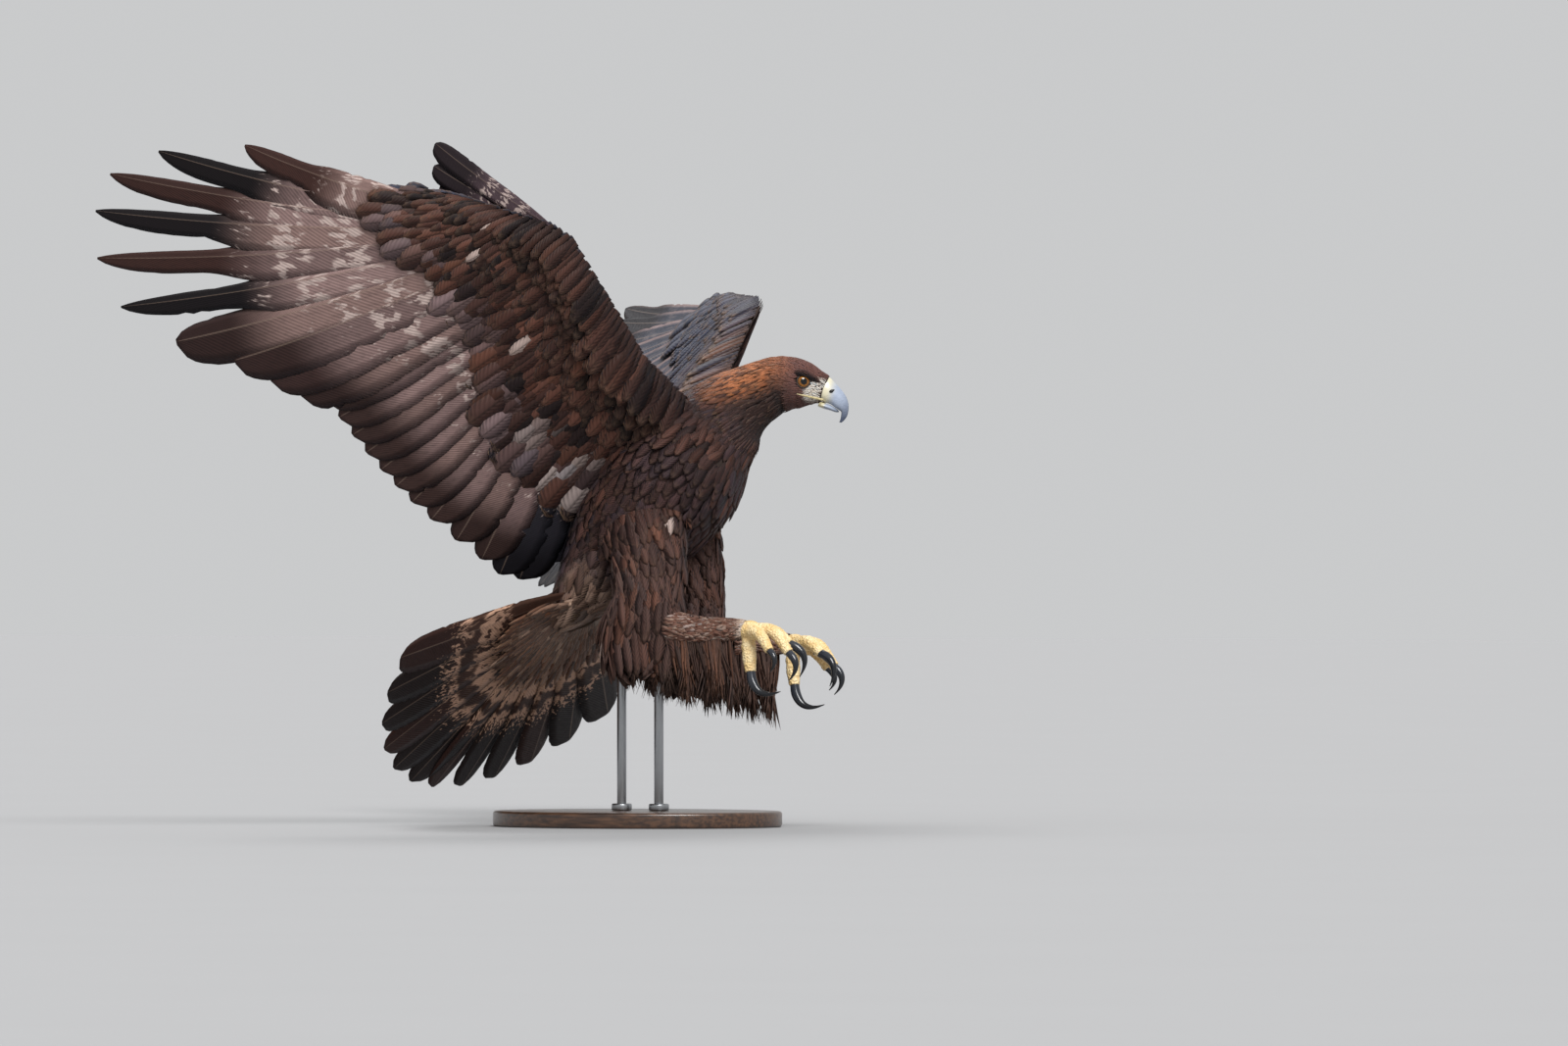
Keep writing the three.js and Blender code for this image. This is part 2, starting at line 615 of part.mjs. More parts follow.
const footSolid = joined([palm(0), ...toeNames.map((name) => toe(name))]).subtract(bootClear);
const toesClear = joined([palm(seam), ...toeNames.map((name) => toe(name, seam))]);
const clawSolids = Object.fromEntries(toeNames.map((name) => [name, claw(name).subtract(toesClear)]));

// Tail

const tailYaw = radians(-2);
const tailFrame = spineFrame(0);
const tailAxis = v3(-0.664, 0, -0.747).applyAxisAngle(v3(0, 0, 1), tailYaw);
const tailLeft = v3(0, 1, 0).applyAxisAngle(v3(0, 0, 1), tailYaw);
const tailUnder = tailAxis.clone().cross(tailLeft);
const tailCentre = v3(-79, 0, -164);
const onTail = (angle, reach, under = 0) =>
  tailCentre
    .clone()
    .addScaledVector(tailAxis, reach * Math.cos(angle))
    .addScaledVector(tailLeft, reach * Math.sin(angle))
    .addScaledVector(tailUnder, under);
function stubRing(reach, halfWidth, halfDepth) {
  const centre = tailFrame.centre.clone().addScaledVector(tailAxis, reach);
  return ring(centre, v3(0, halfWidth, 0), tailUnder.clone().multiplyScalar(halfDepth), 18).reverse();
}
const stub = solid(
  loft([trunkRing(0, { shift: -seam / 2 }), stubRing(26, 46, 19), stubRing(52, 40, 6)])
);
const rectrices = numbered(1, rectrixCount).map((k) =>
  mix(-tailSpread, tailSpread, (k - 0.5) / rectrixCount)
);
function tailVane(degrees, { from, to, lift, outer, inner, shape }) {
  const angle = radians(degrees);
  const centre = (t) => onTail(angle, mix(from, to, t), lift);
  return vane(centre, tailUnder, { outer, inner, outward: degrees < 0 ? 1 : -1, shape });
}
const covertSize = { from: 34, outer: 20, inner: 26, shape: covertShape };
const tailCoverts = [7, -7].flatMap((lift) =>
  rectrices
    .filter((_, k) => k % 2)
    .map((degrees) => tailVane(degrees * 0.8, { ...covertSize, to: lift > 0 ? 165 : 120, lift }))
);
const rectrixSize = { from: 36, to: tailFeatherReach, outer: 24, inner: 40, shape: quillShape };
const tailSolid = joined([
  stub,
  ...rectrices.map((degrees) => tailVane(degrees, { ...rectrixSize, lift: 0 })),
  ...tailCoverts,
]).subtract(trunkClear);

// Stand, upright in the room, and the bird banked above it

const bird = new THREE.Group();
bird.rotation.x = -radians(bankDegrees);
bird.position.set(bodyForward, 0, bodyHeight);
bird.updateMatrix();
const rodRadius = 6;
const rods = { front: 30, rear: -22 };
const torsoInRoom = trunkPart(0, torsoEnd, { grow: seam }).transform([...bird.matrix.elements]);
function rod(x) {
  const tall = bodyHeight - 60;
  const geometry = new THREE.CylinderGeometry(rodRadius, rodRadius, tall - baseThickness - seam, 20);
  geometry.rotateX(Math.PI / 2).translate(x, 0, (tall + baseThickness + seam) / 2);
  const lowest = (a, b) => (b.boundingBox().min[2] < a.boundingBox().min[2] ? b : a);
  return solid(geometry).subtract(torsoInRoom).decompose().reduce(lowest);
}
const baseProfile = [
  [0, 0], [186, 0], [190, 3], [190, 15], [186, 19], [180, baseThickness], [0, baseThickness],
].map(([r, z]) => new THREE.Vector2(r, z));
const base = solid(new THREE.LatheGeometry(baseProfile, 32).rotateX(Math.PI / 2).scale(1, 0.82, 1));

// Materials and nodes

const material = (color, roughness, metalness = 0) =>
  new THREE.MeshStandardMaterial({ color, roughness, metalness });
const plumage = material(0x3b2923, 0.75);
const flight = material(0x2c2322, 0.6);
const nape = material(0x8a5433, 0.75);
const horn = material(0x1d1f26, 0.3);
const bareSkin = material(0xe9c66b, 0.5);
const iris = material(0x7a4a18, 0.1);
const billHorn = material(0x8d97a6, 0.35);
const steel = material(0x9a9c9f, 0.35, 1);
const wood = material(0x2a2624, 0.5);

const part = new THREE.Group();
part.add(bird);
function node(name, made, look, parent = bird) {
  const mesh = new THREE.Mesh(geometryFrom(made), look);
  mesh.name = name;
  parent.add(mesh);
}
const mirrored = (made) => made.mirror([0, 1, 0]);
function pair(name, made, look) {
  node(`${name}_right`, made, look);
  node(`${name}_left`, mirrored(made), look);
}

node("torso", torso, plumage);
node("neck", neck, nape);
node("head", head, nape);
node("bill_upper", billUpper, billHorn);
node("bill_lower", billLower, billHorn);
for (const name of Object.keys(sides)) node(`eye_${name}`, eyeSolids[name], iris);
for (const piece of ["upperarm", "forearm", "hand"]) {
  node(`wing_${piece}_right`, wings.right[piece], flight);
  node(`wing_${piece}_left`, mirrored(wings.left[piece]), flight);
}
pair("thigh", thighSolid, plumage);
pair("tarsus", bootSolid, plumage);
pair("foot", footSolid, bareSkin);
for (const name of toeNames) pair(`claw_${name}`, clawSolids[name], horn);
node("tail", tailSolid, flight);
node("stand_base", base, wood, part);
for (const [name, x] of Object.entries(rods)) node(`stand_rod_${name}`, rod(x), steel, part);

export default part;
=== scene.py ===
"""Golden eagle coming in to land: skin, plumage, head, feet, stand, studio and camera."""

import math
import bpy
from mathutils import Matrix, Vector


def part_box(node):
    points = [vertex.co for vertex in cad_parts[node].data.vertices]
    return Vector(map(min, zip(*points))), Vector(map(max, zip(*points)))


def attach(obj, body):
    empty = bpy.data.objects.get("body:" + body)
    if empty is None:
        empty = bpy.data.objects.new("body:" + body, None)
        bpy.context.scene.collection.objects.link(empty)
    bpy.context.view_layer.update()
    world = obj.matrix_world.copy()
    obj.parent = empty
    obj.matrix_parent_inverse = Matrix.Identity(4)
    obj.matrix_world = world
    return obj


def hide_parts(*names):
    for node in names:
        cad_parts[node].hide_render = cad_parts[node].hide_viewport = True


bl_info = {
    "name": "Golden eagle in landing flight",
    "version": (1, 0, 0),
    "blender": (4, 5, 0),
    "location": "View3D > Sidebar > Eagle",
    "description": "Builds the plumage, skin, bill, eyes, feet and stand of a life-size golden eagle",
    "category": "Add Mesh",
}

from types import SimpleNamespace

import bpy
import numpy as np
from mathutils import Matrix, Vector

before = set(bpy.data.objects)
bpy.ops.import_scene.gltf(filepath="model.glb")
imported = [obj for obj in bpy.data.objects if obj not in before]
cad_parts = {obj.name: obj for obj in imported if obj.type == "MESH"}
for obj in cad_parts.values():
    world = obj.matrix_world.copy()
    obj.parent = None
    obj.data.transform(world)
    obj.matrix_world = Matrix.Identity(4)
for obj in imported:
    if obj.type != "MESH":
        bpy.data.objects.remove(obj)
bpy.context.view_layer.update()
BODY = "root"
MM = 0.001

# The bird's own frame in millimetres: +X ahead, +Y to its left, +Z up, banked as a whole
BANK = math.radians(-7.5)
BIRD_PLACE = np.array([20.0, 0.0, 466.0])
SHOULDER = np.array([55.0, -58.0, 62.0])
WRIST = np.array([8.0, -300.0, 250.0])
CHORD_HINT = np.array([-294.0, -89.0, -209.0])
PRIMARIES, SECONDARIES, TERTIALS = 10, 9, 5
RECTRICES, TAIL_REACH, TAIL_SPREAD = 12, 338.0, 66.0
HEAD_YAW = math.radians(18)
SKIN_DEPTH = 4.0


def rgb(code):
    """Linear colour of a hex code."""
    parts = [int(code[i : i + 2], 16) / 255 for i in (0, 2, 4)]
    return tuple(c / 12.92 if c < 0.04045 else ((c + 0.055) / 1.055) ** 2.4 for c in parts)


def shade(code, factor):
    return np.array(rgb(code)) * factor


def unit(v):
    return v / np.maximum(np.linalg.norm(v, axis=-1, keepdims=True), 1e-9)


def clamp(x):
    return np.clip(x, 0, 1)


def to_room(points):
    """Bird frame in millimetres to the part's frame in metres."""
    x, y, z = np.moveaxis(np.asarray(points, float), -1, 0)
    c, s = math.cos(BANK), math.sin(BANK)
    return (np.stack([x, y * c - z * s, y * s + z * c], -1) + BIRD_PLACE) * MM


def profile(knots, x):
    """Smooth value at x through (x, value) knots."""
    xs, ys = np.array(knots, float).T
    slopes = np.gradient(ys, xs)
    x = np.clip(np.asarray(x, float), xs[0], xs[-1])
    i = np.clip(np.searchsorted(xs, x, side="right") - 1, 0, len(xs) - 2)
    d = xs[i + 1] - xs[i]
    t = (x - xs[i]) / d
    s = t * t * (3 - 2 * t)
    ease = t * (1 - t) ** 2 * d * slopes[i] - t * t * (1 - t) * d * slopes[i + 1]
    return ys[i] + s * (ys[i + 1] - ys[i]) + ease


def catmull(points, s):
    """Point at station s, counted in points, on a smooth curve."""
    p = np.asarray(points, float)
    p = np.vstack([2 * p[0] - p[1], p, 2 * p[-1] - p[-2]])
    i = int(min(max(math.floor(s), 0), len(p) - 4))
    t = s - i
    a, b, c, d = p[i : i + 4]
    return 0.5 * (2 * b + (c - a) * t + (2 * a - 5 * b + 4 * c - d) * t**2 + (3 * b - a - 3 * c + d) * t**3)


# Trunk: centre, half depth and half width from the tail root to the cere
TRUNK = (
    ((-92, 0, -177.5), 34, 42), ((-60, 0, -137.5), 56, 58), ((-22, 0, -87.5), 76, 78),
    ((7, 0, -50), 84, 86), ((38, 0, -12.5), 84, 88), ((63, 0, 17.5), 76, 82),
    ((89, 0, 45), 61, 62), ((112, 0, 67.5), 50, 50), ((135, 3.6, 84), 42, 41),
    ((161.3, 12.1, 98.5), 36.5, 36), ((180.4, 18.3, 102), 34.5, 33), ((198.2, 24.1, 101), 30, 26.5),
    ((213.7, 29.1, 98), 22.5, 20), ((222.6, 32, 95), 19.4, 12.5),
)
SPINE, DEPTHS, WIDTHS = zip(*TRUNK)
# Station of the point between the eyes
HEAD_STATION = 11.0
LAST_STATION = len(TRUNK) - 1.0
RING = 72
AROUND = np.linspace(0, 2 * np.pi, RING, endpoint=False)


def superellipse(centre, side, rise, squareness=2.15):
    """A closed ring, a little squarer than an ellipse."""
    bulge = lambda x: np.sign(x) * np.abs(x) ** (2 / squareness)
    return centre + np.outer(bulge(np.cos(AROUND)), side) + np.outer(bulge(np.sin(AROUND)), rise)


def heading(points, s, nudge=0.01):
    """Direction of a smooth curve at station s."""
    return unit(catmull(points, s + nudge) - catmull(points, s - nudge))


def stations(values, s):
    """Smooth value at station s through evenly spaced values."""
    return profile(list(enumerate(values)), s)


def spine_frame(s):
    """Centre of the trunk at station s, with its left and its up."""
    along = heading(SPINE, s)
    left = unit(np.cross([0, 0, 1], along))
    return catmull(SPINE, s), left, np.cross(along, left)


def trunk_ring(s, grow):
    """Section of the trunk, neck and head at station s."""
    centre, left, up = spine_frame(s)
    return superellipse(centre, left * (stations(WIDTHS, s) + grow), up * (stations(DEPTHS, s) + grow))


# As thick from side to side as from front to back, all along a limb
ROUND = ((0, 1), (1, 1))


def limb_ring(points, radii, flat=ROUND):
    """Ring function of a limb; s runs 0 to 1, and flat is its thickness from side to side."""
    last = len(points) - 1

    def ring(s, grow):
        along = heading(points, s * last)
        side = unit(np.array([0, 1, 0]) - along * along[1])
        radius = profile(radii, s)
        rise = np.cross(along, side) * (radius + grow)
        return superellipse(catmull(points, s * last), side * (radius * profile(flat, s) + grow), rise, 2)

    return ring


def sweep(ring, count, start=0.0, end=1.0, grow=0.0):
    """Rings at even stations."""
    return [ring(s, grow) for s in np.linspace(start, end, count)]


# Meshes from arrays

def build(name, points, faces):
    """A smooth mesh object from points already in metres."""
    mesh = bpy.data.meshes.new(name)
    mesh.from_pydata(points, [], faces)
    mesh.polygons.foreach_set("use_smooth", [True] * len(mesh.polygons))
    mesh.update()
    obj = bpy.data.objects.new(name, mesh)
    bpy.context.scene.collection.objects.link(obj)
    return obj


def tube_faces(count, n):
    """Faces between count rings of n points each."""
    r, k = np.meshgrid(np.arange(count - 1), np.arange(n), indexing="ij")
    a, b = r * n + k, r * n + (k + 1) % n
    return np.stack([a, b, b + n, a + n], -1).reshape(-1, 4)


def loft(name, rings):
    """A closed skin through rings of the bird's frame."""
    rings = np.array(rings)
    count, n = rings.shape[:2]
    points = np.vstack([rings.reshape(-1, 3), rings[0].mean(0), rings[-1].mean(0)])
    top, end = (count - 1) * n, count * n
    faces = tube_faces(count, n).tolist()
    faces += [[end, (k + 1) % n, k] for k in range(n)]
    faces += [[end + 1, top + k, top + (k + 1) % n] for k in range(n)]
    obj = build(name, to_room(points), faces)
    outward(obj)
    return obj


def select(*objects):
    bpy.ops.object.select_all(action="DESELECT")
    for obj in objects:
        obj.select_set(True)
    bpy.context.view_layer.objects.active = objects[0]


def outward(obj):
    """Turns all faces outwards."""
    select(obj)
    bpy.ops.object.mode_set(mode="EDIT")
    bpy.ops.mesh.select_all(action="SELECT")
    bpy.ops.mesh.normals_make_consistent(inside=False)
    bpy.ops.object.mode_set(mode="OBJECT")


def join(name, objects):
    select(*objects)
    if len(objects) > 1:
        bpy.ops.object.join()
    objects[0].name = objects[0].data.name = name
    return objects[0]


def apply(obj, kind, **settings):
    select(obj)
    modifier = obj.modifiers.new(kind.title(), kind)
    for key, value in settings.items():
        setattr(modifier, key, value)
    bpy.ops.object.modifier_apply(modifier=modifier.name)


def fuse(name, objects, voxel, rounds):
    """Overlapping closed pieces become one smooth skin."""
    obj = join(name, objects)
    apply(obj, "REMESH", mode="VOXEL", voxel_size=voxel, use_smooth_shade=True)
    apply(obj, "SMOOTH", factor=0.5, iterations=rounds)
    return obj


def finish_piece(obj, material, slot, *nodes):
    """Gives a piece its material, the nodes it replaces, and its body; slot is not used."""
    obj.data.materials.clear()
    obj.data.materials.append(material)
    if nodes:
        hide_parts(*nodes)
    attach(obj, BODY)
    return obj


# Feathers

# How far a root stands off the skin, and the keel's rise: at least, and by half width
ROOT_RISE, KEEL_RISE, KEEL_SHARE = 0.4, 0.3, 0.07
# Side of the patch of the baking map that one small feather takes
PATCH = 0.003


class Coat:
    """Gathers feathers and makes them one mesh: each a thin closed vane with its keel raised."""

    # Share of the length, share of the half width
    LEAF = ((0, 0.35), (0.3, 0.86), (0.66, 1), (0.9, 0.62), (1, 0.1))
    COVERT = ((0, 0.4), (0.4, 0.92), (0.72, 1), (0.92, 0.66), (1, 0.14))
    HACKLE = ((0, 0.4), (0.3, 0.9), (0.6, 0.8), (0.85, 0.42), (1, 0.04))

    def __init__(self, name, shape=LEAF):
        self.name, self.shape, self.rows = name, np.array(shape), []

    def add(self, root, along, normal, length, half, tint, place, lift, bend):
        """Adds feathers; lift is the slope they leave with, and bend the radius they curl down on."""
        n = len(root)
        sizes = [np.broadcast_to(np.asarray(value, float), (n,)) for value in (length, half, lift, bend)]
        self.rows.append((root, unit(along), unit(normal), np.broadcast_to(tint, (n, 3)), place, *sizes))

    def make(self):
        columns = (np.concatenate(column) for column in zip(*self.rows))
        root, along, normal, tint, place, length, half, lift, bend = columns
        normal = unit(normal - along * (along * normal).sum(-1, keepdims=True))
        side = np.cross(along, normal)
        n, m = len(root), len(self.shape)
        points = np.zeros((n, m, 3, 3))
        for i, (t, w) in enumerate(self.shape):
            reach = length * t
            height = ROOT_RISE + lift * reach - reach**2 / (2 * bend)
            spine = root + along * reach[:, None] + normal * height[:, None]
            keel = KEEL_RISE + KEEL_SHARE * half * w
            for j, (x, raised) in enumerate(((-1, 0), (0, 1), (1, 0))):
                points[:, i, j] = spine + side * (x * half * w)[:, None] + normal * (raised * keel)[:, None]
        first = (np.arange(n) * m * 3)[:, None, None]
        top = (m - 1) * 3
        caps = np.array([[2, 1, 0], [top, top + 1, top + 2]])
        faces = (tube_faces(m, 3) + first).reshape(-1, 4).tolist() + (caps + first).reshape(-1, 3).tolist()
        obj = build(self.name, to_room(points.reshape(-1, 3)), faces)
        across = np.tile(np.array([0.0, 0.5, 1.0]), n * m)
        down = np.tile(np.repeat(self.shape[:, 0], 3), n)
        paint(obj, np.repeat(tint, m * 3, 0), across, down, np.repeat(place, m * 3, 0), PATCH)
        return obj


def add_map(mesh, name, places):
    """A UV map with one place for each vertex."""
    corners = np.zeros(len(mesh.loops), int)
    mesh.loops.foreach_get("vertex_index", corners)
    mesh.uv_layers.new(name=name).data.foreach_set("uv", places[corners].ravel())


def add_colours(mesh, name, colours):
    """A layer with one colour for each vertex."""
    layer = mesh.color_attributes.new(name, "FLOAT_COLOR", "POINT")
    layer.data.foreach_set("color", np.column_stack([colours, np.ones(len(colours))]).ravel())


def paint(obj, tint, across, down, place, patch):
    """Stores each feather's colour, its patch of the baking map, and its own UV map."""
    own = np.column_stack([across, down])
    add_colours(obj.data, "tint", tint)
    add_map(obj.data, "OFBake", clamp(place + own * patch))
    add_map(obj.data, "vane", own)


def on_ring(ring, share):
    """Points at shares of the way round a closed ring."""
    x = (share % 1) * len(ring)
    i = x.astype(int) % len(ring)
    t = (x - x.astype(int))[:, None]
    return ring[i] * (1 - t) + ring[(i + 1) % len(ring)] * t


# Rows of small feathers: scatter of the roots, pace of the rows, and the fewest feathers in a row
SCATTER, ROW_PACE, FEWEST = 0.3, 0.8, 6


def shingles(ring, start, end, gap, rng, grow):
    """Rows of roots over a ring surface: yields station, share round, point, normal, along."""
    s, row, ds = start, 0, (end - start) / 400
    while s < end:
        here, ahead = ring(s, grow), ring(s + ds, grow)
        around = np.linalg.norm(here - np.roll(here, 1, 0), axis=1).sum()
        n = max(FEWEST, int(around / gap))
        share = (np.arange(n) + 0.5 * (row % 2) + rng.uniform(-SCATTER, SCATTER, n)) / n
        point = on_ring(here, share)
        along = unit(on_ring(ahead, share) - point)
        normal = unit(np.cross(on_ring(here, share + 0.01) - on_ring(here, share - 0.01), along))
        flip = np.sign(((point - here.mean(0)) * normal).sum(-1, keepdims=True))
        yield s, share % 1, point, normal * flip, along
        pace = np.linalg.norm(ahead.mean(0) - here.mean(0)) / ds
        s += ROW_PACE * gap / max(pace, 1e-3)
        row += 1


# The wing's plane: u from shoulder to wrist, v across the chord, w out of the underside
SPAN = unit(WRIST - SHOULDER)
UNDER = unit(np.cross(SPAN, CHORD_HINT))
CHORD = np.cross(UNDER, SPAN)
WRIST_AT = float(np.linalg.norm(WRIST - SHOULDER))
HAND_ANGLE = math.radians(40)
# Length and angle of the primaries from the wrist, and u and v of the other tips, by number
PRIMARY_REACH = ((1, 398), (3, 452), (5, 573), (7, 603), (8, 592), (9, 540), (10, 439))
PRIMARY_ANGLE = ((1, 92), (4, 75), (7, 55.5), (10, 42))
INNER_TIP_U = ((1, 269), (5, 135), (8, 31), (10, -60), (12, -115), (14, -104))
INNER_TIP_V = ((1, 374), (5, 361), (8, 340), (10, 312), (12, 284), (14, 190))
# First and last root of the secondaries and of the tertials, from the hand inwards
SECONDARY_ROOTS, TERTIAL_ROOTS = ((284, 30), (150, 112)), ((134, 108), (62, 66))
# Where the hand starts to bend up, and over what span; how deep the wing is hollowed at what chord
BEND_FROM, BEND_SPAN, HOLLOW, HOLLOW_CHORD = 290, 360, 14, 370


def along_hand(h, lead=0.0):
    """Place on the wing's plane, h past the wrist and lead before the hand's line."""
    c, s = math.cos(HAND_ANGLE), math.sin(HAND_ANGLE)
    return np.array([WRIST_AT + h * c + lead * s, 12 + h * s - lead * c])


# Sections of the arm and hand: leading edge and rear edge on the wing's plane, and thickness
ARM = (
    ((-34, -26), (-80, 84), 44), ((6, -22), (-30, 118), 38), ((50, -6), (30, 134), 32),
    ((95, 0), (85, 138), 27), ((140, 2), (135, 138), 25), ((195, 3), (186, 118), 23),
    ((250, 2), (244, 88), 21), ((298, -4), (280, 62), 20),
    (along_hand(22, 15), along_hand(24, -44), 18), (along_hand(65, 14), along_hand(58, -40), 15),
    (along_hand(110, 11), along_hand(108, -30), 11), (along_hand(152, 5), along_hand(152, -10), 5),
)


def toward(start, end, t):
    """The place a share t of the way from start to end."""
    return tuple(a + (b - a) * t for a, b in zip(start, end))


def quill_lines():
    """Root, tip and leading edge of each flight feather, from the innermost tertial outwards."""
    roots, tips, leads = [], [], []
    for j in range(SECONDARIES + TERTIALS, 0, -1):
        if j <= SECONDARIES:
            roots.append(toward(*SECONDARY_ROOTS, (j - 1) / (SECONDARIES - 1)))
        else:
            roots.append(toward(*TERTIAL_ROOTS, (j - SECONDARIES - 1) / TERTIALS))
        tips.append((profile(INNER_TIP_U, j), profile(INNER_TIP_V, j)))
        reach = 1 - (j - 1) / (SECONDARIES + TERTIALS - 1)
        leads.append((-18 + 318 * reach, -24 + 24 * min(1, reach * 3)))
    for i in range(1, PRIMARIES + 1):
        angle = math.radians(float(profile(PRIMARY_ANGLE, i)))
        reach = profile(PRIMARY_REACH, i)
        roots.append(tuple(along_hand(10 + 118 * (i - 1) / (PRIMARIES - 1), -7)))
        tips.append((WRIST_AT + reach * math.cos(angle), reach * math.sin(angle)))
        leads.append(tuple(along_hand(6 + 14.5 * i, 14)))
    return (np.array(x, float) for x in (roots, tips, leads))


ROOTS, TIPS, LEADS = quill_lines()
QUILLS = len(ROOTS)
INNER_QUILLS = SECONDARIES + TERTIALS


def between(table, k):
    """Row of a table at a place between its rows."""
    return np.stack([np.interp(k, np.arange(len(table)), column) for column in table.T], -1)


def linear(knots, x):
    """Value at x on straight lines through (x, value) knots."""
    return np.interp(x, *np.array(knots).T)


class Wing:
    """One wing: side is -1 for the right and 1 for the left; bend is how far the tips blow up."""

    def __init__(self, side, bend, last_tip):
        self.side, self.bend = side, bend
        self.tips = np.vstack([TIPS[:-1], last_tip])
        self.mirror = np.array([1, -side, 1])
        self.under = UNDER * self.mirror

    def at(self, uv, w=0.0):
        """A place on the wing's plane, w out of its underside, in the bird's frame."""
        u, v = np.moveaxis(np.asarray(uv, float), -1, 0)
        past = np.maximum(0, u - BEND_FROM) / BEND_SPAN
        w = np.asarray(w, float) - HOLLOW * (v / HOLLOW_CHORD) ** 2 - self.bend * past**1.5
        return (SHOULDER + u[..., None] * SPAN + v[..., None] * CHORD + w[..., None] * UNDER) * self.mirror

    def arm_ring(self, s, grow):
        """Section of the arm: round in front, tapering to the rear edge."""
        table = np.array([(*lead, *rear, thick) for lead, rear, thick in ARM])
        lead_u, lead_v, rear_u, rear_v, thick = between(table, np.array(s))
        lead, rear = np.array([lead_u, lead_v]), np.array([rear_u, rear_v])
        chord = np.linalg.norm(rear - lead)
        share = (1 - np.cos(AROUND)) / 2
        full = np.sin(np.pi * np.minimum(1, 0.06 + share * 0.94) ** 0.72) * 0.92 + 0.08
        reach = share * (chord + 2 * grow) - grow
        uv = lead + (rear - lead) / chord * reach[:, None]
        return self.at(uv, np.sin(AROUND) * np.maximum(thick / 2 * full + grow, 0.6))


# Each wing's side, how far its tips blow up, and the tip of its last primary
WINGS = {"right": Wing(-1, 44.0, TIPS[-1]), "left": Wing(1, 8.0, (710, 382))}
# The right leg: paths, radii, and how thin the thigh is from side to side
HEEL, FOOT_ROOT = (68, -68, -222), (172, -70, -224)
THIGH = (
    (-10, -38, -20), (8, -46, -70), (26, -56, -120), (34, -63, -172), (33, -66, -214), (36, -68, -256),
)
THIGH_RADII = ((0, 56), (0.2, 62), (0.4, 52), (0.6, 47), (0.8, 54), (0.92, 50), (1, 30))
THIGH_FLAT = ((0, 0.5), (0.2, 0.55), (0.4, 0.68), (0.6, 0.68), (0.8, 0.5), (1, 0.4))
BOOT = (HEEL, (110, -69, -226), (150, -70, -225), FOOT_ROOT)
BOOT_RADII = ((0, 23), (0.5, 17.5), (1, 13.2))
SIDES = {"right": -1, "left": 1}


def mirrored(points, side):
    return np.asarray(points, float) * (1, -side, 1)


def head_point(forward, left, up):
    """A place in the head's own frame: forward, left and up of the point between the eyes."""
    centre = catmull(SPINE, HEAD_STATION)
    ahead = np.array([math.cos(HEAD_YAW), math.sin(HEAD_YAW), 0])
    across = np.array([-math.sin(HEAD_YAW), math.cos(HEAD_YAW), 0])
    return centre + ahead * forward + across * left + np.array([0, 0, up])


def head_coords(point):
    """How far ahead of the point between the eyes, and how far above it, many points are."""
    x, y, z = (point - catmull(SPINE, HEAD_STATION)).T
    return x * math.cos(HEAD_YAW) + y * math.sin(HEAD_YAW), z


def eye_centre(side):
    return head_point(-2.4, side * 18.6, 1.2)


# Ridges of the face: places in the head's frame on its left side, and radii
BROW = (
    ((-18, 23.5, 10), (-4, 27, 11.8), (9, 22.5, 7.4), (21, 14.5, 0.5)),
    ((0, 2), (0.35, 4.2), (0.7, 3.6), (1, 1.4)),
)
GAPE = ((-8, 26.4, -15.4), (5, 23.8, -17.6), (25, 13.2, -20)), ((0, 0.4), (0.5, 1.3), (1, 1.6))
NOSTRIL = ((31, 9.9, -10), (34.6, 10, -8), (38.2, 8.8, -5.8)), ((0, 0.5), (0.5, 2.1), (1, 0.5))


def face_ring(places, radii, side):
    """Ring function of a ridge on one side of the face."""
    return limb_ring([head_point(ahead, side * out, up) for ahead, out, up in places], radii)


def eye_look(side):
    return unit(head_point(0.32, side, -0.04) - head_point(0, 0, 0))


# Materials

class Val:
    """Wraps a socket, so that shader maths reads as an expression."""

    def __init__(self, tree, socket):
        self.tree, self.socket = tree, socket

    def math(self, operation, *others):
        return self.tree.add("ShaderNodeMath", {"operation": operation}, (self, *others))

    def __add__(self, other):
        return self.math("ADD", other)

    def __sub__(self, other):
        return self.math("SUBTRACT", other)

    def __mul__(self, other):
        return self.math("MULTIPLY", other)

    def __abs__(self):
        return self.math("ABSOLUTE")

    __radd__ = __add__

    def sine(self):
        return self.math("SINE")

    def step(self, low, high):
        """Smooth 0 to 1 as the value goes from low to high."""
        return self.tree.add(
            "ShaderNodeMapRange",
            {"interpolation_type": "SMOOTHSTEP"},
            {"Value": self, "From Min": low, "From Max": high},
        )


